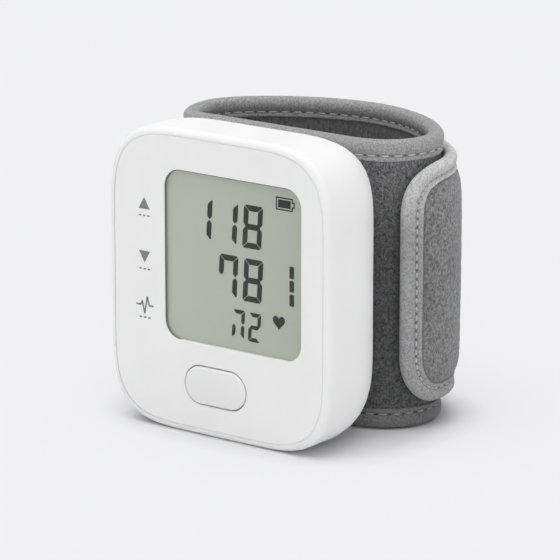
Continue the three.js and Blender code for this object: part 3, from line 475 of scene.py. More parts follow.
def woven(name, colour, pitch, lines, depth=0.5, painted_top_light=(1.0, 1.0)):
    """Soft knitted tape on its own map in mm: ribs, flecks, painted shade in the stitch holes and along the sewn
    groove, and painted light from above.
    """
    finish = Finish(name, {"Roughness": 0.88, "Specular IOR Level": 0.25, "Sheen Weight": 0.15,
                           "Sheen Roughness": 0.5})
    maths = finish.maths
    along, across, _ = finish.axes("UV")
    rib, row = (maths("SINE", maths("MULTIPLY", value, 2 * math.pi / size))
                for value, size in ((along, 0.42), (across, 0.336)))
    knit = maths("MULTIPLY", maths("MULTIPLY", rib, row), 0.5)
    fleck = finish.grain(2100, 4.0, (1, 1, 0.9), 0.9)
    level = maths("ADD", maths("MULTIPLY", fleck, 0.8), maths("MULTIPLY", knit, 0.12))
    tone = finish.mix(finish.spread(level, 0, 1, 0.32, 0.48), scaled(colour, 0.56), scaled(colour, 1.4))
    tone = finish.mix(finish.spread(finish.grain(140, 4.0), 0, 0.35), tone, scaled(colour, 0.86))

    def squared(value, reach):
        return maths("POWER", maths("DIVIDE", value, reach), 2)

    # Painted shade: the tape darkens in the stitch holes and in a band along the sewn groove; the depth argument sets
    # how dark the holes go.
    sides = [maths("ABSOLUTE", maths("SUBTRACT", across, line)) for line in lines]
    side = maths("MINIMUM", *sides) if len(sides) == 2 else sides[0]
    hole = maths("ADD", squared(maths("PINGPONG", along, pitch / 2), 0.42), squared(side, 0.34))
    near = maths("SUBTRACT", 1.0, hole, True)
    line = maths("SUBTRACT", 1.0, squared(side, 0.5), True)
    share = maths("ADD", maths("MULTIPLY", near, depth), maths("MULTIPLY", line, 0.35), True)
    # The painted shade of holes and groove, then painted light from above that makes the tape lighter high up.
    tone = finish.paler(finish.mix(share, tone, scaled(colour, 0.22)), *painted_top_light, 0.048, 0.060)
    finish.dress({"Base Color": tone})
    finish.bump(maths("ADD", maths("MULTIPLY", knit, 0.6), fleck), 0.12, 0.9)
    return finish.material


def thread_finish(name, colour):
    """Twisted sewing thread."""
    finish = Finish(name, {"Roughness": 0.6})
    twist = finish.grain(5000, 2.0)
    finish.dress({"Base Color": finish.mix(finish.spread(twist, 0, 1), scaled(colour, 0.7), scaled(colour, 1.15))})
    finish.bump(twist, 0.05)
    return finish.material


def clear_window(name):
    """Clear plate: light passes nearly unchanged, with a faint gloss and hairline wear."""
    finish = Finish(name, {"Alpha": 0.03, "IOR": 1.49, "Specular IOR Level": 0.5})
    smear = finish.spread(finish.grain(60, 2.0), 0, 1)
    wear = finish.spread(finish.grain(700, 4.0, (1, 1, 0.2)), 0.06, 0.16)
    finish.dress({"Base Color": finish.mix(smear, (0.46, 0.47, 0.46), (0.52, 0.53, 0.52)), "Roughness": wear})
    return finish.material


def seal_and_shade_finish(name):
    """Soft seal round the window, partly a real dark seal and partly painted shade of the window's walls: dark at its
    lip and lighter down its wall.
    """
    finish = Finish(name, {"Roughness": 0.6})
    deep = finish.spread(finish.axes()["Y"], 0, 1, -0.00545, -0.00490, "SMOOTHSTEP")
    finish.dress({"Base Color": finish.mix(deep, (0.10, 0.105, 0.09), (0.36, 0.38, 0.33))})
    finish.bump(finish.grain(6000, 2.0), 0.01)
    return finish.material


def display_glass(name, colour):
    """Passive display: grey-green rear film seen through glass, lighter at its left and darker towards the right, with
    soft clouds.
    """
    finish = Finish(name, {"Specular IOR Level": 0.3})
    across = finish.maths("MULTIPLY", finish.maths("SUBTRACT", finish.axes()["X"], -0.016), 1 / 0.040)
    across = finish.maths("MAXIMUM", across, 0.0, True)
    cloud = finish.grain(90, 2.0)
    tone = finish.mix(across, scaled(colour, 1.10), scaled(colour, 0.95))
    tone = finish.mix(finish.spread(finish.grain(5200, 2.0), 0, 0.10), tone, scaled(colour, 0.8))
    tone = finish.mix(finish.spread(cloud, 0, 0.10), tone, scaled(colour, 1.15))
    finish.dress({"Base Color": tone, "Roughness": finish.spread(cloud, 0.34, 0.44)})
    return finish.material


def board_finish(name):
    """Green solder resist over copper tracks."""
    finish = Finish(name, {})
    line = finish.spread(finish.grain(500, 0.0), 0, 1, 0.49, 0.51)
    finish.dress({"Base Color": finish.mix(line, (0.012, 0.13, 0.05), (0.02, 0.2, 0.08)),
                  "Roughness": finish.spread(finish.grain(4000, 2.0), 0.25, 0.4)})
    finish.bump(line, 0.03)
    return finish.material


def sleeve_finish(name):
    """Printed foil round a cell, dark with a copper-coloured end, worn to bare steel in places."""
    finish = Finish(name, {"Metallic": 0.4})
    scuff = finish.grain(1500, 4.0, (1, 1, 0.1))
    high = finish.spread(finish.axes()["Z"], 0, 1, 0.0480, 0.0482)
    tone = finish.mix(high, (0.03, 0.035, 0.05), (0.62, 0.40, 0.12))
    tone = finish.mix(finish.spread(scuff, 0, 0.3, 0.5, 0.8), tone, (0.5, 0.5, 0.5))
    finish.dress({"Base Color": tone, "Roughness": finish.spread(scuff, 0.25, 0.45)})
    return finish.material


# ------------------------------------------------------------------ the cuff's line, seen from above

def bezier(a, b, c, d, count=240):
    """Points along a curve from a to d, without the last one."""
    t = np.linspace(0, 1, count, endpoint=False)[:, None]
    a, b, c, d = map(np.array, (a, b, c, d))
    return (1 - t) ** 3 * a + 3 * (1 - t) ** 2 * t * b + 3 * (1 - t) * t ** 2 * c + t ** 3 * d


def run_along(points):
    """How far along a line of points each of them lies, from 0."""
    return np.concatenate([[0], np.cumsum(np.linalg.norm(np.diff(points, axis=0), axis=1))])


def cuff_line():
    """The cuff's outer face from above, counter-clockwise from the middle of the case's back, in mm."""
    parts = [
        np.linspace((0.0, 27.2), (17.0, 27.2), 60, endpoint=False),
        bezier((17, 27.2), (26.3, 27.2), (32.5, 32.8), (32.5, 41.2)),
        bezier((32.5, 41.2), (32.5, 50.36), (16.5, 64.1), (0.5, 64.1)),
        bezier((0.5, 64.1), (-17.65, 64.1), (-35.8, 50.06), (-35.8, 40.7)),
        bezier((-35.8, 40.7), (-35.8, 32.6), (-32.28, 27.2), (-27, 27.2)),
        np.linspace((-27.0, 27.2), (0.0, 27.2), 90),
    ]
    points = np.vstack(parts)
    run = run_along(points)
    ahead = np.gradient(points, run, axis=0)
    ahead /= np.linalg.norm(ahead, axis=1)[:, None]
    return run, points, ahead


RUN, LINE, AHEAD = cuff_line()
ROUND = RUN[-1]


def wrapped(s, z, out):
    """Points at the run s along the line, height z and distance out of the face, in mm, as frame metres."""
    s, z, out = np.broadcast_arrays(np.asarray(s, float), np.asarray(z, float), np.asarray(out, float))
    turn = np.mod(s, ROUND)
    x, y, dx, dy = (np.interp(turn, RUN, values) for values in (*LINE.T, *AHEAD.T))
    size = np.hypot(dx, dy)
    x, y = x + dy / size * out, y - dx / size * out
    return np.stack([x, y + FASCIA_FRONT, z + FASCIA_MIDDLE], -1) * MM


def skin(name, outer, inner, maps=None, closed=False):
    """A closed sheet between two grids of points of the same shape: rows run along the line, columns across it."""
    rows, columns = outer.shape[:2]
    points = np.concatenate([outer.reshape(-1, 3), inner.reshape(-1, 3)])
    index = np.arange(rows * columns).reshape(rows, columns)
    back = index + rows * columns
    if closed:
        index = np.vstack([index, index[:1]])
        back = np.vstack([back, back[:1]])

    def quads(grid):
        return np.stack([grid[:-1, :-1], grid[1:, :-1], grid[1:, 1:], grid[:-1, 1:]], -1).reshape(-1, 4)

    faces = [quads(index), quads(back)[:, ::-1]]
    rims = [(index[:, 0], back[:, 0], 1), (index[:, -1], back[:, -1], -1)]
    if not closed:
        rims += [(index[0], back[0], -1), (index[-1], back[-1], 1)]
    for front, rear, way in rims:
        faces.append(np.stack([front[:-1], rear[:-1], rear[1:], front[1:]], -1)[:, ::way])
    sheet = mesh_piece(name, points.tolist(), np.concatenate(faces).tolist())
    if maps is not None:
        mesh = sheet.data
        both = np.concatenate([maps.reshape(-1, 2)] * 2)
        layer = mesh.uv_layers.new(name="ClothMap")
        corners = np.empty(len(mesh.loops), int)
        mesh.loops.foreach_get("vertex_index", corners)
        layer.data.foreach_set("uv", both[corners].ravel())
    return outwards(sheet, 50)


def grid_map(s, z):
    """A sheet's own map: the run along the line and the height or distance across, both in mm."""
    return np.stack(np.broadcast_arrays(s, z), -1)


def nap(s, z, scale, seed):
    """Matted-fibre relief from -1 to 1 at each point of a grid, the same each run."""
    flat_s, flat_z = np.broadcast_arrays(s, z)
    values = np.array([
        noise.fractal(Vector((a * scale, b * scale * 0.6, seed)), 0.7, 2.0, 3)
        for a, b in zip(flat_s.ravel(), flat_z.ravel())
    ])
    return values.reshape(flat_s.shape)


def spline(points, count):
    """A smooth line through points, with even spacing along it."""
    points = np.array(points, float)
    padded = np.vstack([2 * points[0] - points[1], points, 2 * points[-1] - points[-2]])
    curve = []
    for a, b, c, d in zip(padded[:-3], padded[1:-2], padded[2:-1], padded[3:]):
        t = np.linspace(0, 1, 12, endpoint=False)[:, None]
        square, cube = 2 * a - 5 * b + 4 * c - d, 3 * b - a - 3 * c + d
        curve.append(0.5 * (2 * b + (c - a) * t + square * t ** 2 + cube * t ** 3))
    curve = np.vstack(curve + [points[-1:]])
    run = run_along(curve)
    even = np.linspace(0, run[-1], count)
    return np.stack([np.interp(even, run, curve[:, i]) for i in range(curve.shape[1])], -1), even


SEAM = 59.0
SPLIT = 171.0          # where the cloth's two lengths meet, hidden behind the case
# The cloth's two lengths along the line: beside the case, and on the far side, with the start of their pieces' names.
LENGTHS = {"fixed": (SPLIT - ROUND, SEAM), "arm": (SEAM + 0.3, SPLIT - 0.02)}
PREFIX = {"fixed": "cuff_", "arm": "cuff_arm_"}
THICK = 2.8            # of the cuff's wall; distances out of its face are negative inwards
MIDDLE = -THICK / 2
WALL_TOP, WALL_FOOT = 32.6, -35.4
RIM_TOP, RIM_FOOT = 34.0, -36.8
STITCH_DROP = 3.9      # from a rim's edge to its stitches


def settle(piece, part):
    """The cuff's length beside the case rides on it; the one on the far side has its placing baked into its points."""
    if part == "fixed":
        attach(piece, "monitor")
    else:
        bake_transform(piece)


def wall_layer(name, part, outer, inner, margin, step, rows, relief, seed, sides):
    """One layer of the cuff's wall, short of its edges by the margin, with relief on its outer or inner face."""
    low, high = LENGTHS[part]
    s = np.linspace(low, high, max(2, int((high - low) / step)))[:, None]
    z = np.linspace(WALL_FOOT + margin, WALL_TOP - margin, rows)[None, :]
    height = nap(s, z, 0.8, seed) * relief if relief else 0.0
    face, back = outer + height * sides[0], inner - height * sides[1]
    return skin(name, wrapped(s, z, face), wrapped(s, z, back), grid_map(s, z))


RIM = [
    (0.05, 5.22), (0.30, 5.20), (0.42, 4.95), (0.42, 4.55), (0.24, 4.16), (0.15, 3.92), (0.22, 3.66),
    (0.42, 3.2), (0.58, 2.62), (0.60, 2.05), (0.47, 1.42), (0.13, 0.85), (-0.47, 0.45), (-1.4, 0.26),
]


def rim_profile(bead):
    """The folded tape's face from its outer hem, over the rim, to its inner hem: (out, drop) in mm."""
    outer = [(out * bead / 0.62 if 0.4 < out and drop < 3.5 else out, drop) for out, drop in RIM]
    inner = [(-THICK - out, drop) for out, drop in reversed(outer[:-1])]
    return spline(outer + inner, 76)


def folded(profile, across, run):
    """A tape's profile at each stop of its run, as two grids, and the tape's own map."""
    first, second = (np.repeat(column[None, :], len(run), 0) for column in profile.T)
    return first, second, grid_map(run[:, None], across)


def rim_tape(name, part, edge, sign):
    """Tape folded over a rim of the cuff, drawn in along the stitch line and slightly uneven, as sewn cloth is."""
    _, cuff = settings()
    profile, across = rim_profile(cuff.bead / MM)
    low, high = LENGTHS[part]
    s = np.linspace(low, high, int((high - low) / 0.45))
    out, drop, maps = folded(profile, across, s)
    pitch = cuff.rim_pitch / MM
    side = np.where(out > MIDDLE, 1.0, -1.0)
    groove = np.exp(-((drop - STITCH_DROP) / 0.75) ** 2)
    pull = 0.5 + 0.5 * np.cos(2 * math.pi * s[:, None] / pitch)
    slow = nap(s[:, None] + 0 * drop, drop, 0.16, 3.1 + sign)
    fine = nap(s[:, None] + 0 * drop, drop + 9 * side, 1.1, 7.7)
    legs = np.clip(drop / 1.6, 0, 1)
    out = out + side * legs * (0.07 * slow + 0.035 * fine - 0.10 * groove * pull + 0.05 * (1 - groove) * (1 - pull))
    drop = drop + 0.10 * slow * (drop > 4.6)
    if sign < 0:
        drop = np.maximum(drop, 0.03)
    under_out = MIDDLE + (out - MIDDLE) * 0.84
    tucked = MIDDLE * (1 - legs)
    under_out = np.where(side > 0, np.maximum(under_out, 0.02 * legs + tucked),
                         np.minimum(under_out, tucked - (THICK + 0.02) * legs))
    hem = 5.27
    under_drop = np.minimum(np.where(drop < 1.4, 0.36 + drop * 0.75, drop * 0.985), hem)
    s = s[:, None]
    return skin(name, wrapped(s, edge - sign * drop, out), wrapped(s, edge - sign * under_drop, under_out), maps)


def stitch_row(name, spots, size, radius):
    """Stitches, each a small thread sunk at both ends. spots are (s, z, out, ds, dz): place and direction."""
    points, faces = [], []
    sides, stops, sunk = 6, 5, 0.30
    t = np.linspace(-1, 1, stops)[:, None]
    turn = np.arange(sides) * 2 * math.pi / sides
    taper = np.array([0.55, 0.95, 1.0, 0.95, 0.55])[:, None] * radius
    side, lift = np.cos(turn) * taper, np.sin(turn) * taper
    for s, z, out, ds, dz in spots:
        sink = out - (sunk if out > 0 else -sunk) * np.abs(t) ** 3
        ring = wrapped(s + t * ds * size / 2 - dz * side, z + t * dz * size / 2 + ds * side, sink + lift)
        faces += tube_faces(len(points), stops, sides)
        points += ring.reshape(-1, 3).tolist()
    return outwards(mesh_piece(name, points, faces), 60)


# ------------------------------------------------------------------ the strap, drawn on the same line

TIP, ROOT = 30.45, 84.0
STRAP_TOP, STRAP_FOOT = 28.5, -30.2
CLEAR = 0.9            # from the cuff's face to the strap's underside, where it peels
STITCH_LINE = 3.2      # from the strap's edge to its stitches
ROLL = [
    (4.34, 3.15), (4.40, 3.42), (4.24, 3.66), (3.9, 3.70), (3.55, 3.50), (3.3, 3.22), (3.1, 3.18), (2.8, 3.36),
    (2.2, 3.66), (1.4, 3.74), (0.7, 3.46), (0.2, 2.85), (0.0, 2.2), (0.15, 1.5), (0.55, 0.98), (1.3, 0.72),
    (2.65, 0.66), (3.8, 0.70), (4.25, 0.84),
]


def strap_outline(step=0.4):
    """The strap's edge as (s, z), once round from the root's top: along the top, round the tip, back and up."""
    def corner(cs, cz, reach, rise, start, power=2.0):
        turn = np.radians(np.linspace(start, start + 90, 60, endpoint=False))
        across, up = np.cos(turn), np.sin(turn)
        return np.stack([cs + reach * np.sign(across) * np.abs(across) ** (2 / power),
                         cz + rise * np.sign(up) * np.abs(up) ** (2 / power)], -1)
    parts = [
        corner(ROOT - 6, STRAP_TOP - 6, 6, 6, 0),
        np.linspace((ROOT - 6, STRAP_TOP), (TIP + 16, STRAP_TOP), 60, endpoint=False),
        corner(TIP + 16, STRAP_TOP - 15, 16, 15, 90, 3.0),
        np.linspace((TIP, STRAP_TOP - 15), (TIP, STRAP_FOOT + 12), 60, endpoint=False),
        corner(TIP + 8.5, STRAP_FOOT + 12, 8.5, 12, 180, 2.1),
        np.linspace((TIP + 8.5, STRAP_FOOT), (ROOT - 6, STRAP_FOOT), 60, endpoint=False),
        corner(ROOT - 6, STRAP_FOOT + 6, 6, 6, 270),
        np.linspace((ROOT, STRAP_FOOT + 6), (ROOT, STRAP_TOP - 6), 60, endpoint=False),
    ]
    points = np.vstack(parts)
    looped = np.vstack([points, points[:1]])
    run = run_along(looped)
    even = np.linspace(0, run[-1], int(run[-1] / step), endpoint=False)
    edge = np.stack([np.interp(even, run, looped[:, i]) for i in range(2)], -1)
    ahead = np.roll(edge, -1, 0) - np.roll(edge, 1, 0)
    ahead /= np.linalg.norm(ahead, axis=1)[:, None]
    inward = np.stack([-ahead[:, 1], ahead[:, 0]], -1)
    return edge, inward, even, run[-1]


def under_strap(s):
    """Height of the strap's underside: clear of the cuff where it peels, down on it where it is sewn."""
    start, reach, drop = 58.0, 5.0, 0.68
    share = np.clip((s - start) / reach, 0, 1)
    return CLEAR - drop * share * share * (3 - 2 * share)


def strap_tape(name):
    """Tape folded round the strap's edge: a full roll, a sewn groove and a thin inner lip."""
    _, cuff = settings()
    edge, inward, run, total = strap_outline()
    profile, across = spline(ROLL, 60)
    inset, out, maps = folded(profile, across, run)
    pitch = total / round(total / (cuff.strap_pitch / MM))
    pull = (0.5 + 0.5 * np.cos(2 * math.pi * run / pitch))[:, None]
    face = np.clip((out - 2.2) / 1.0, 0, 1)
    groove = np.exp(-((inset - STITCH_LINE) / 0.4) ** 2) * face
    grid_s, grid_z = (edge[:, None, i] + inward[:, None, i] * inset for i in range(2))
    slow = nap(grid_s, grid_z, 0.18, 5.3)
    fine = nap(grid_s, grid_z + 40 * (out < 2.2), 1.1, 2.9)
    lip = np.exp(-((inset - 3.95) / 0.4) ** 2) * face
    out = out + 0.07 * slow * face + 0.035 * fine - 0.10 * groove * pull + 0.05 * lip * (1 - pull)
    inset = inset + 0.07 * slow * (inset > 3.6) * face
    out = out + (under_strap(grid_s) - CLEAR) * np.clip((2.6 - out) / 2.0, 0, 1)
    # The tape's back lies one thickness nearer to the middle of the roll.
    thick, middle, high = 0.34, 2.6, 2.25
    away_inset, away_out = inset - middle, out - high
    size = np.hypot(away_inset, away_out)
    under_inset = np.where(inset < middle, inset + thick * -away_inset / size, inset)
    under_out = out - thick * np.where(inset < middle, away_out / size, np.sign(away_out))

    def at(distance, height):
        return wrapped(*(edge[:, None, i] + inward[:, None, i] * distance for i in range(2)), height)

    return skin(name, at(inset, out), at(under_inset, under_out), maps, closed=True)


def strap_pad(name):
    """The strap's padded middle, crowned between the tape's lips, with the felt's grain in its face."""
    _, cuff = settings()
    inset = 3.3
    edge, inward, _, _ = strap_outline(0.25)
    drawn = edge + inward * inset
    upper = drawn[drawn[:, 1] > 0]
    lower = drawn[drawn[:, 1] <= 0]
    upper, lower = upper[np.argsort(upper[:, 0])], lower[np.argsort(lower[:, 0])]
    turn = np.linspace(0, math.pi / 2, 26, endpoint=False)
    near = TIP + inset + 0.02 + 14 * (1 - np.cos(turn))
    end = ROOT - inset - 0.02 - 4 * (1 - np.cos(turn[:0:-1]))
    s = np.concatenate([near, np.linspace(TIP + inset + 14.3, ROOT - inset - 4.3, 74), end, [ROOT - inset - 0.02]])
    high = np.interp(s, upper[:, 0], upper[:, 1])
    low = np.interp(s, lower[:, 0], lower[:, 1])
    edge = edge[::3]
    share = np.linspace(0, 1, 150)
    z = low[:, None] + (high - low)[:, None] * share[None, :]
    grid = np.repeat(s[:, None], len(share), 1)
    flat = np.stack([grid.ravel(), z.ravel()], -1)
    from_edge = np.sqrt(((flat[:, None, :] - edge[None, :, :]) ** 2).sum(-1).min(1)).reshape(grid.shape)
    # Flat at the height of the tape's lip up to 4.3 mm from the edge, then rounded up to the crown.
    flat_height, flat_to, rounding = 2.95, 4.3, 7.4
    rise = np.clip((from_edge - flat_to) / rounding, 0, 1)
    crown = flat_height + cuff.strap_crown / MM * np.sqrt(np.clip(1 - (1 - rise) ** 2, 0, 1))
    relief = nap(grid, z, 0.85, 1.7) * cuff.felt_nap / MM
    slack = nap(grid, z, 0.07, 4.4) * 0.16 * rise
    face, back = crown + relief + slack, under_strap(grid) + 0.12
    return skin(name, wrapped(grid, z, face), wrapped(grid, z, back), grid_map(grid, z))


def hook_field(name):
    """Rows of small moulded hooks on the strap's underside, leaning by turns."""
    points, faces = [], []
    columns, rows, apart, above = 11, 30, 1.3, 1.28
    for i in range(columns):
        for j in range(rows):
            s = TIP + 12 + apart * i
            z = STRAP_FOOT + 10.8 + above * j
            lean = 0.22 if (i + j) % 2 else -0.22
            faces += tube_faces(len(points), 4, 4)
            for height, shift, half in ((0.66, 0.0, 0.16), (0.40, 0.0, 0.12), (0.20, lean * 0.6, 0.10),
                                        (0.14, lean * 1.6, 0.07)):
                for a, b in ((-1, -1), (1, -1), (1, 1), (-1, 1)):
                    points.append(wrapped(s + a * half, z + b * half + shift, height).tolist())
    return outwards(mesh_piece(name, points, faces))


# ------------------------------------------------------------------ figures on the display

# Width, height and stroke of the large and the small figures in mm, and how far they lean.
LARGE, SMALL, SLANT = (5.55, 10.4, 1.42), (3.55, 7.05, 0.98), 0.062
DIGITS = {"1": "bc", "2": "abged", "7": "abcf", "8": "abcdefg", "small7": "abce"}
FIGURE_SHIFT = (0.84, 0.37)      # all figures as one, to the right and up
THIN = 0.03                      # of figures and print


def segment_shapes(kind, centre, width, height, stroke):
    """Outlines of the lit segments of one figure: each is a hexagon with its ends cut at the corners."""
    w, h, t, gap = width / 2, height / 2, stroke, 0.09

    def bar(x0, x1, z):
        return [(x0 + gap, z), (x0 + t / 2 + gap, z + t / 2), (x1 - t / 2 - gap, z + t / 2), (x1 - gap, z),
                (x1 - t / 2 - gap, z - t / 2), (x0 + t / 2 + gap, z - t / 2)]

    def rim(x0, x1, z, inward):
        return [(x0 + 0.35 * t, z), (x0 + 0.15 * t + gap, z - inward * 0.2 * t), (x0 + t + gap, z - inward * t),
                (x1 - t - gap, z - inward * t), (x1 - 0.15 * t - gap, z - inward * 0.2 * t), (x1 - 0.35 * t, z)]

    def post(x, out, up):
        points = [(x, t * 0.5 + gap), (x, h - 0.42 * t), (x - out * 0.14 * t, h - 0.2 * t - gap),
                  (x - out * t, h - t - gap), (x - out * t, t * 0.5 + gap), (x - out * t * 0.5, gap)]
        return [(a, up * b) for a, b in points]

    shapes = []
    for letter in DIGITS[kind]:
        if letter == "a":
            shapes.append(rim(-w, w, h, 1))
        elif letter == "d":
            shapes.append(rim(-w, w, -h, -1))
        elif letter == "g":
            shapes.append(bar(-w + 0.35 * t, w - 0.35 * t, 0))
        else:
            shapes.append(post(w if letter in "bc" else -w, 1 if letter in "bc" else -1, 1 if letter in "bf" else -1))
    return [[(centre[0] + x + SLANT * z, centre[1] + z) for x, z in shape] for shape in shapes]


def flat_plates(name, shapes, y, thickness):
    """Thin plates with the given outlines in the fascia's plane, in mm."""
    points, faces = [], []
    for shape in shapes:
        faces += tube_faces(len(points), 2, len(shape))
        points += [tuple(place(x, depth, z)) for depth in (y, y + thickness) for x, z in shape]
    return outwards(mesh_piece(name, points, faces))


def rounded(x0, z0, x1, z1, radius, steps=5):
    """The outline of a rectangle with rounded corners."""
    points = []
    for cx, cz, start in ((x1 - radius, z1 - radius, 0), (x0 + radius, z1 - radius, 90),
                          (x0 + radius, z0 + radius, 180), (x1 - radius, z0 + radius, 270)):
        for i in range(steps + 1):
            turn = math.radians(start + 90 * i / steps)
            points.append((cx + radius * math.cos(turn), cz + radius * math.sin(turn)))
    return points


def bar_line(points, width):
    """Outlines of the straight strokes of a drawn line, one plate for each stroke."""
    shapes = []
    for (x0, z0), (x1, z1) in zip(points, points[1:]):
        run = math.hypot(x1 - x0, z1 - z0)
        nx, nz = -(z1 - z0) / run * width / 2, (x1 - x0) / run * width / 2
        ex, ez = (x1 - x0) / run * width * 0.28, (z1 - z0) / run * width * 0.28
        shapes.append([(x0 - ex + nx, z0 - ez + nz), (x0 - ex - nx, z0 - ez - nz), (x1 + ex - nx, z1 + ez - nz),
                       (x1 + ex + nx, z1 + ez + nz)])
    return shapes


# ------------------------------------------------------------------ one operator for each piece or group of pieces

class MONITOR_OT_case(bpy.types.Operator):
    """Moulded case: a rounded-square tub with a soft front rim, a ledge for the fascia and the battery opening"""
    bl_idname = "monitor.case"
    bl_label = "Case"

    def execute(self, context):
        case, _ = settings()
        fillet = case.fillet / MM
        front = [(2.0, 3.83), (3.05, 3.77), (3.05, 2.13), (1.55, 2.10), (1.55, 0.16), (1.60, 0.05), (1.68, 0.0)]
        for step in range(1, 8):
            turn = math.radians(4 + 86 * step / 7)
            front.append((fillet * (1 - math.sin(turn)), fillet * (1 - math.cos(turn))))
        shell = shell_between("case_shell", 2.0, front)
        combine(shell, block("door_opening", (-36, 4.4, -24), (-29.6, 21.4, 24), 3.0), "DIFFERENCE")
        smooth(shell, 40)
        finish_piece(shell, "monitor", "case_white", moulded("Housing plastic", finishes().case), ["housing_shell"])
        return {"FINISHED"}


class MONITOR_OT_door(bpy.types.Operator):
    """Battery door: a piece of the case's own side, with four finger grooves"""
    bl_idname = "monitor.door"
    bl_label = "Battery door"

    def execute(self, context):
        door = shell_between("door_panel", 1.5, [(1.5, 3.0), (0.0, 2.94)])
        combine(door, block("door_span", (-36, 4.65, -23.75), (-28.4, 21.15, 23.75), 2.8), "INTERSECT")
        for index in range(4):
            high = -10 - 2.2 * index
            groove = block("groove", (-34, 6, high - 0.45), (-32.15, 12, high + 0.45), 0.4)
            combine(door, groove, "DIFFERENCE")
        apply_step(door, "BEVEL", width=0.12 * MM, segments=2, limit_method="ANGLE", angle_limit=math.radians(40))
        smooth(door, 40)
        finish_piece(door, "door", "case_white", moulded("Door plastic", finishes().case), ["battery_door"])
        return {"FINISHED"}


class MONITOR_OT_fascia(bpy.types.Operator):
    """Fascia: inset front plate with rolled edges at its rim, its window and its button hole"""
    bl_idname = "monitor.fascia"
    bl_label = "Fascia"

    def execute(self, context):
        case, _ = settings()
        edge = case.fascia_edge / MM
        rings = [outline(1.6, 2.0), outline(1.6, 0.19), outline(1.80, 0.17), outline(1.80, edge)]
        rings += [outline(1.80 + edge * (1 - math.cos(t)), edge * (1 - math.sin(t))) for t in (0.5, 1.0, 1.57)]
        plate = loft("front_fascia", rings, profile=SQUIRCLE, segments=16)
        lip = case.window_edge / MM
        window = [(2.5, 42.3, 43.4, 5.6), (1.3, 42.3, 43.4, 5.6), (1.299, *WINDOW)] + rolled(lip, *WINDOW)
        combine(plate, loft("window_cut", window, WINDOW_SPOT, 0.5, 10), "DIFFERENCE")
        hole = [(2.5, *BUTTON_HOLE)] + rolled(0.3, *BUTTON_HOLE)
        combine(plate, loft("button_cut", hole, BUTTON_SPOT, 0.5, 14), "DIFFERENCE")
        smooth(plate, 30)
        finish_piece(plate, "monitor", "fascia_white", moulded("Fascia plastic", finishes().case, 0.44, 0.008),
                     ["fascia"])
        return {"FINISHED"}


class MONITOR_OT_button(bpy.types.Operator):
    """Start button: long rounded cap with a soft rim, a slight crown, its flange and its stem"""
    bl_idname = "monitor.button"
    bl_label = "Start button"

    def execute(self, context):
        case, _ = settings()
        crown = case.button_crown / MM
        width, height, corner = 17.9, 9.2, 4.59
        rings = [(3.3, 2.4, 2.4, 1.19), (2.91, 2.4, 2.4, 1.19), (2.9, 20.6, 11.9, 5.94), (2.1, 20.6, 11.9, 5.94),
                 (2.09, width, height, corner), (0.3, width, height, corner)]
        for turn in (0.3, 0.6, 0.9, 1.2, 1.5):
            shrink = 0.6 * (1 - math.cos(turn))
            rings.append((0.3 - 0.6 * math.sin(turn), width - 2 * shrink, height - 2 * shrink, corner - shrink))
        for share in (0.3, 0.6, 0.85):
            shrink = 0.6 + 3.9 * share
            rise = crown * (1 - (1 - share) ** 2)
            rings.append((-0.3 - rise, width - 2 * shrink, height - 2 * shrink, corner - shrink))
        button = loft("start_key", rings, BUTTON_SPOT, 0.5, 14)
        smooth(button, 40)
        finish_piece(button, "button", "button_white", moulded("Button plastic", finishes().button, 0.45, 0.01),
                     ["start_button"])
        return {"FINISHED"}


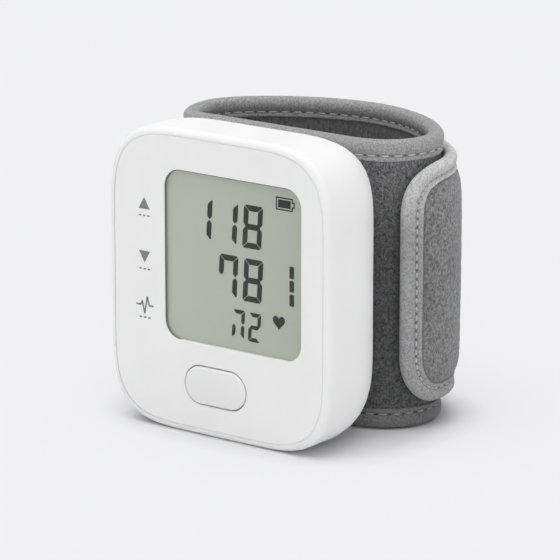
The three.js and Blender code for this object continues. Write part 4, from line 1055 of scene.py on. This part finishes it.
class MONITOR_OT_display(bpy.types.Operator):
    """Display: grey-green glass under a clear window, its seal, which also carries painted shade, and the plain figures
    that it shows
    """
    bl_idname = "monitor.display"
    bl_label = "Display"

    def execute(self, context):
        rings = {
            "display_sheet": [(2.0, 41.9, 43.0, 5.4), (1.40, 41.9, 43.0, 5.4), (1.38, 40.0, 41.1, 4.45),
                              (0.98, 40.0, 41.1, 4.45)],
            "clear_window": [(0.94, 39.6, 40.7, 4.25), (0.60, 39.6, 40.7, 4.25), (0.55, 39.5, 40.6, 4.2)],
            "window_seal_and_shade": [(0.97, 40.08, 41.18, 4.49), (0.25, 40.08, 41.18, 4.49)],
        }
        sheet, window, seal = (loft(name, given, WINDOW_SPOT, 0.5, 10) for name, given in rings.items())
        # The cut lies a little right and low, so that the seal shows wider at its left and top: painted shade where
        # those walls of the window are in shade.
        seal_and_shade_cut = [(1.1, 39.92, 41.02, 4.41), (0.1, 39.92, 41.02, 4.41)]
        combine(seal, loft("seal_and_shade_cut", seal_and_shade_cut, (4.485, 6.315), 0.5, 10), "DIFFERENCE")
        for piece, slot, material, replaced in (
            (sheet, "lcd_glass", display_glass("Display sheet", finishes().display), ()),
            (window, "lens_clear", clear_window("Clear window"), ["display_lens"]),
            (seal, "dark_plastic", seal_and_shade_finish("Window seal"), ()),
        ):
            finish_piece(smooth(piece, 30), "monitor", slot, material, replaced)

        shapes = []
        for kind, spot in (("1", (-5.8, 15.75)), ("1", (1.7, 15.75)), ("8", (8.95, 15.75)), ("7", (1.72, 2.9)),
                           ("8", (9.0, 2.9))):
            shapes += segment_shapes(kind, spot, *LARGE)
        for kind, spot in (("small7", (4.72, -8.2)), ("2", (9.45, -8.3))):
            shapes += segment_shapes(kind, spot, *SMALL)
        shapes += [rounded(19.62, low, 20.95, high, 0.28) for low, high in ((-1.45, 1.45), (1.95, 4.7), (5.2, 8.1))]
        battery = [(20.4, 21.2), (15.85, 21.2), (15.85, 24.0), (20.4, 24.0), (20.4, 23.15), (20.95, 23.15),
                   (20.95, 22.05), (20.4, 22.05), (20.4, 21.2)]
        shapes += bar_line(battery, 0.33)
        shapes.append([(16.3, 21.65), (19.95, 21.65), (19.95, 23.55), (16.3, 23.55)])
        heart = []
        for turn in np.arange(40) * 2 * math.pi / 40:
            across = 16 * math.sin(turn) ** 3
            rise = 13 * math.cos(turn) - 5 * math.cos(2 * turn) - 2 * math.cos(3 * turn) - math.cos(4 * turn)
            heart.append((16.55 + across * 0.112, -5.75 + rise * 0.118))
        shapes.append(heart)
        right, up = FIGURE_SHIFT
        shapes = [[(x + right, z + up) for x, z in shape] for shape in shapes]
        figures = flat_plates("display_figures", shapes, 0.945, THIN)
        dark = finishes().segment
        ink = mottled("Display figures", 120, scaled(dark, 0.85), scaled(dark, 1.25), specular=0.2)
        finish_piece(figures, "monitor", "lcd_glass", ink)
        return {"FINISHED"}


class MONITOR_OT_marks(bpy.types.Operator):
    """Printed marks beside the window: plain pictograms for the three readings"""
    bl_idname = "monitor.marks"
    bl_label = "Printed marks"

    def execute(self, context):
        shapes = [
            [(-23.4, 16.1), (-20.0, 16.1), (-21.7, 19.0)],
            [(-23.4, 5.9), (-20.0, 5.9), (-21.7, 3.0)],
        ]
        pulse = [(-24.2, -7.4), (-23.0, -7.4), (-22.5, -6.5), (-21.8, -9.4), (-21.0, -5.3), (-20.4, -7.4),
                 (-19.2, -7.4)]
        shapes += bar_line(pulse, 0.42)
        for height in (14.3, 1.3, -10.6):
            shapes += [rounded(left, height, left + 0.8, height + 0.4, 0.15, 2) for left in (-23.4, -22.1, -20.8)]
        ink = flat_plates("printed_marks", shapes, -THIN / 2, THIN)
        tones = (0.16, 0.165, 0.17), (0.24, 0.245, 0.25)
        finish_piece(ink, "monitor", "fascia_white", mottled("Printing ink", 7000, *tones, start=0.35))
        return {"FINISHED"}


class MONITOR_OT_cuff_wall(bpy.types.Operator):
    """Cuff wall: felt cover, springy plate, air bladder and lining, in a fixed length and one on the far side"""
    bl_idname = "monitor.cuff_wall"
    bl_label = "Cuff wall"

    def execute(self, context):
        relief = settings()[1].felt_nap / MM
        colours = finishes()
        # The cuff felt and the lining carry painted light from above: lighter towards the upper rim.
        cloth = felt("Cuff felt", colours.felt)
        lining = felt("Lining cloth", colours.lining, 1.5, 0.55, 0.15, (0.9, 1.15))
        plate = moulded("Springy plate", (0.6, 0.6, 0.6), 0.4, 0.02)
        film = moulded("Bladder film", (0.3, 0.31, 0.33), 0.3, 0.02)
        # Name, node, slot, finish, then outer and inner face, margin, step, rows, relief, seed and relief's sides.
        layers = (
            ("felt", "cover", "felt", cloth, 0.0, -0.8, 0.0, 0.5, 136, relief, 1.0, (1, 0)),
            ("inner_cloth", "lining", "lining_cloth", lining, -2.42, -THICK, 0.0, 0.8, 86, relief, 6.0, (0, 1)),
            ("plate", "curler", "dark_plastic", plate, -0.9, -1.6, 0.5, 1.0, 3, 0.0, 0.0, (0, 0)),
            ("air_film", "bladder", "bladder_film", film, -1.7, -2.3, 1.5, 1.0, 3, 0.0, 0.0, (0, 0)),
        )
        for part, prefix in PREFIX.items():
            low, high = LENGTHS[part]
            for name, node_name, slot, material, outer, inner, margin, step, rows, height, seed, sides in layers:
                piece = wall_layer(prefix + name, part, outer, inner, margin, step, rows, height, seed, sides)
                finish_piece(piece, None, slot, material, [prefix + node_name])
                settle(piece, part)
            ends = (SEAM + 0.001, SEAM + 0.09) if part == "fixed" else (SEAM + 0.21, SEAM + 0.299)
            z = np.linspace(WALL_FOOT, WALL_TOP, 40)[:, None]
            out = np.linspace(0.02, -2.82, 6)[None, :]
            facing = skin(prefix + "end_facing", wrapped(ends[1], z, out), wrapped(ends[0], z, out))
            finish_piece(facing, "monitor" if part == "fixed" else "arm", "felt", cloth)
        return {"FINISHED"}


class MONITOR_OT_cuff_tape(bpy.types.Operator):
    """Folded tape over the cuff's upper and lower rim, with its stitches inside and out"""
    bl_idname = "monitor.cuff_tape"
    bl_label = "Cuff tape"

    def execute(self, context):
        _, cuff = settings()
        colours = finishes()
        pitch = cuff.rim_pitch / MM
        profile, across = rim_profile(cuff.bead / MM)
        line = float(np.interp(-STITCH_DROP, -profile[:38, 1], across[:38]))
        lines = (line, float(across[-1]) - line)
        rims = (
            ("top", "binding_top", RIM_TOP, 1, woven("Rim tape", colours.tape, pitch, lines),
             thread_finish("Rim thread", scaled(colours.tape, 1.8))),
            # The foot tape's darker colour is painted shade, and its stitch holes get a deeper painted shade.
            ("foot", "binding_bottom", RIM_FOOT, -1, woven("Foot tape", colours.shaded_foot_tape, pitch, lines, 0.75),
             thread_finish("Foot thread", scaled(colours.shaded_foot_tape, 2.0))),
        )
        for part, prefix in PREFIX.items():
            low, high = LENGTHS[part]
            runs = np.arange(math.ceil(low / pitch + 0.3) + 0.5, (high - 0.8) / pitch) * pitch
            for side, node_name, edge, sign, cloth, thread in rims:
                tape = rim_tape(prefix + side + "_tape", part, edge, sign)
                finish_piece(tape, None, "binding_tape", cloth, [prefix + node_name])
                settle(tape, part)
                for label, out in (("outer", 0.25), ("inner", -3.09)):
                    spots = [(s, edge - sign * STITCH_DROP, out, 1, 0) for s in runs]
                    row = stitch_row(prefix + side + "_stitches_" + label, spots, pitch * 0.66, cuff.thread / MM)
                    finish_piece(row, None, "binding_tape", thread)
                    settle(row, part)
        return {"FINISHED"}


class MONITOR_OT_strap(bpy.types.Operator):
    """Closing strap: padded felt middle, rolled tape with stitches, and its hook patch"""
    bl_idname = "monitor.strap"
    bl_label = "Closing strap"

    def execute(self, context):
        _, cuff = settings()
        colours = finishes()
        edge, inward, run, total = strap_outline()
        count = round(total / (cuff.strap_pitch / MM))
        pitch = total / count
        profile, across = spline(ROLL, 60)
        line = float(across[np.argmin(abs(profile[:26, 0] - STITCH_LINE) + 10 * (across[:26] < 0.7))])
        spots = []
        for where in (np.arange(count) + 0.5) * pitch:
            s, z, in_s, in_z = (float(np.interp(where, run, values)) for values in (*edge.T, *inward.T))
            spots.append((s + in_s * STITCH_LINE, z + in_z * STITCH_LINE, 3.27, in_z, -in_s))

        pad = strap_pad("strap_pad")
        # The strap's felt and tape carry painted light from above: lighter towards the top.
        cloth = felt("Strap felt", colours.strap_felt, 1.60, 0.32, 0.5, (1.0, 1.15), 0.35)
        finish_piece(pad, None, "felt", cloth, ["strap_panel", "strap_root"])
        tape = strap_tape("strap_tape")
        cloth = woven("Strap tape", colours.strap_tape, pitch, (line,), painted_top_light=(0.9, 1.45))
        finish_piece(tape, None, "binding_tape", cloth, ["strap_binding"])
        row = stitch_row("strap_stitches", spots, pitch * 0.66, cuff.thread / MM)
        finish_piece(row, None, "binding_tape", thread_finish("Strap thread", scaled(colours.strap_tape, 1.45)))
        for piece in (pad, tape, row):
            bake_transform(piece)

        s = np.linspace(TIP + 11, TIP + 26, 20)[:, None]
        z = np.linspace(STRAP_FOOT + 10, STRAP_TOP - 10, 40)[None, :]
        patch = skin("hook_tape", wrapped(s, z, 1.1), wrapped(s, z, 0.62), grid_map(s, z))
        hooks = hook_field("hook_tape_hooks")
        plastic = moulded("Hook plastic", (0.035, 0.036, 0.038), 0.5, 0.03)
        for piece, replaced in ((patch, ["hook_patch"]), (hooks, [])):
            finish_piece(piece, "strap", "hook_tape", plastic, replaced)
        return {"FINISHED"}


class MONITOR_OT_inner_parts(bpy.types.Operator):
    """Finishes of the parts inside: board, pump, valve, cells, springs, seats and screws"""
    bl_idname = "monitor.inner_parts"
    bl_label = "Inner parts"

    def execute(self, context):
        inner = moulded("Inner plastic", (0.62, 0.62, 0.61), 0.5, 0.02)
        dark = moulded("Dark plastic", (0.03, 0.031, 0.033), 0.45, 0.015)
        steel = steel_finish("Steel")
        rubber = moulded("Silicone", (0.42, 0.42, 0.40), 0.6, 0.01)
        board = board_finish("Circuit board")
        sleeve = sleeve_finish("Cell sleeve")
        glass = display_glass("Display glass", finishes().display)
        chosen = (
            (glass, ("lcd_panel",)), (board, ("main_board",)), (sleeve, ("battery_cell",)),
            (inner, ("lcd_frame", "cuff_air_port", "battery_tray", "pressure_sensor")),
            (rubber, ("lcd_connector", "air_manifold")),
            (steel, ("board_screw", "cuff_screw", "battery_spring", "contact", "pump_motor")),
            (dark, ("pump_head", "release_valve", "start_switch", "switch_plunger", "controller_chip", "buzzer")),
        )
        for name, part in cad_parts.items():
            for material, starts in chosen:
                if name.startswith(starts):
                    part.data.materials.clear()
                    part.data.materials.append(material)
        return {"FINISHED"}


class MONITOR_OT_stage(bpy.types.Operator):
    """Pale floor, even surround, soft key light from above the front left and the camera"""
    bl_idname = "monitor.stage"
    bl_label = "Stage"

    def execute(self, context):
        scene = context.scene
        stage = scene.monitor_stage
        deselect()
        bpy.ops.mesh.primitive_plane_add(size=8.0, location=(0, 0, 0))
        floor = bpy.context.object
        floor.name = "floor"
        edit_all()
        bpy.ops.mesh.subdivide(number_cuts=3)
        bpy.ops.object.mode_set(mode="OBJECT")

        # Away from the monitor the floor is seen in part in its plain colour; at the monitor it's all paint and shadow.
        paint = Finish("Floor paint", {"Roughness": 0.9, "Specular IOR Level": 0.0})
        haze = paint.spread(paint.grain(3.0, 2.0), 0, 1)
        paint.dress({"Base Color": paint.mix(haze, scaled(stage.floor, 0.998), scaled(stage.floor, 1.002))})
        middle, wide, deep = 0.024, 0.040, 0.034
        spot = paint.add("Mapping", {"Vector": paint.add("TexCoord").outputs["Object"],
                                     "Location": (0, -middle / deep, 0), "Scale": (1 / wide, 1 / deep, 0)})
        across, back, _ = paint.add("SeparateXYZ", {0: spot.outputs[0]}).outputs
        cubes = [paint.maths("POWER", paint.maths("ABSOLUTE", side), 3.0) for side in (across, back)]
        share = paint.spread(paint.maths("POWER", paint.maths("ADD", *cubes), 1 / 3), 0, stage.pale, 0.90, 1.14)
        share = paint.maths("MULTIPLY", paint.add("LightPath").outputs["Is Camera Ray"], share)
        plain = paint.add("Emission", {"Color": PALE})
        both = paint.add("MixShader", {0: share, 1: paint.surface.outputs[0], 2: plain.outputs[0]})
        paint.feed(paint.output.inputs["Surface"], both.outputs[0])
        floor.data.materials.append(paint.material)

        world = bpy.data.worlds.new("Surround")
        world.use_nodes = True
        scene.world = world
        sky = Nodes(world.node_tree)
        height = sky.maths("MAXIMUM", sky.axes("Generated")["Z"], 0.0)
        above = sky.maths("MULTIPLY", sky.maths("POWER", height, 6.0), stage.overhead)
        around = sky.maths("MULTIPLY", sky.maths("POWER", sky.maths("SUBTRACT", 1.0, height), 4.0), stage.horizon)
        light = sky.add("Background", {"Color": (1, 1, 1), "Strength": sky.maths("ADD", above, around)})
        seen = sky.add("Background", {"Color": PALE})
        path = sky.add("LightPath").outputs
        either = sky.maths("MAXIMUM", path["Is Camera Ray"], path["Is Transmission Ray"])
        both = sky.add("MixShader", {0: either, 1: light.outputs[0], 2: seen.outputs[0]})
        sky.add("OutputWorld", {"Surface": both.outputs[0]})

        for name, strength, width, direction in (
            ("key", stage.key, 70, (0.42, 0.50, -1.0)), ("front", stage.front, 40, (-0.68, 0.68, -0.34)),
        ):
            lamp = bpy.data.lights.new(name, "SUN")
            lamp.energy = strength
            lamp.angle = math.radians(width)
            put(name, lamp, direction)

        # The camera's bearing and rise in degrees, its distance, and its shift to the right and up, in mm.
        bearing, climb, distance, aside, up = 37.0, 14.8, 895, 14.73, 2.10
        camera = bpy.data.cameras.new("camera")
        camera.lens = 246.1
        camera.sensor_width = 36.0
        camera.clip_start, camera.clip_end = 0.01, 50
        turn, rise = math.radians(bearing), math.radians(climb)
        right = Vector((math.cos(turn), math.sin(turn), 0))
        back = Vector((math.sin(turn) * math.cos(rise), -math.cos(turn) * math.cos(rise), math.sin(rise)))
        eye = put("camera", camera, -back)
        eye.location = (back * distance + right * aside + back.cross(right) * up) * MM + place(0, 0, 0)
        scene.camera = eye
        scene.view_settings.view_transform = "Standard"
        return {"FINISHED"}


class MONITOR_PT_panel(bpy.types.Panel):
    """Lists the monitor's pieces and their sizes"""
    bl_label = "Wrist monitor"
    bl_idname = "MONITOR_PT_panel"
    bl_space_type = "VIEW_3D"
    bl_region_type = "UI"
    bl_category = "Monitor"

    def draw(self, context):
        for group in ("monitor_case", "monitor_cuff", "monitor_finish", "monitor_stage"):
            values = getattr(context.scene, group)
            box = self.layout.box()
            for key in type(values).__annotations__:
                box.prop(values, key)
        for step in STEPS:
            self.layout.operator(step.bl_idname)


GROUPS = {"monitor_case": CaseSettings, "monitor_cuff": CuffSettings, "monitor_finish": FinishSettings,
          "monitor_stage": StageSettings}
STEPS = (
    MONITOR_OT_stage, MONITOR_OT_case, MONITOR_OT_fascia, MONITOR_OT_button, MONITOR_OT_door, MONITOR_OT_display,
    MONITOR_OT_marks, MONITOR_OT_cuff_wall, MONITOR_OT_cuff_tape, MONITOR_OT_strap, MONITOR_OT_inner_parts,
)


def register():
    for name, group in GROUPS.items():
        bpy.utils.register_class(group)
        setattr(bpy.types.Scene, name, bpy.props.PointerProperty(type=group))
    for step in (*STEPS, MONITOR_PT_panel):
        bpy.utils.register_class(step)


def unregister():
    for step in reversed((*STEPS, MONITOR_PT_panel)):
        bpy.utils.unregister_class(step)
    for name, group in GROUPS.items():
        delattr(bpy.types.Scene, name)
        bpy.utils.unregister_class(group)


def main():
    register()
    bpy.ops.monitor.stage()
    bpy.ops.monitor.case()
    bpy.ops.monitor.fascia()
    bpy.ops.monitor.button()
    bpy.ops.monitor.door()
    bpy.ops.monitor.display()
    bpy.ops.monitor.marks()
    bpy.ops.monitor.cuff_wall()
    bpy.ops.monitor.cuff_tape()
    bpy.ops.monitor.strap()
    bpy.ops.monitor.inner_parts()
    deselect()


if __name__ == "__main__":
    main()
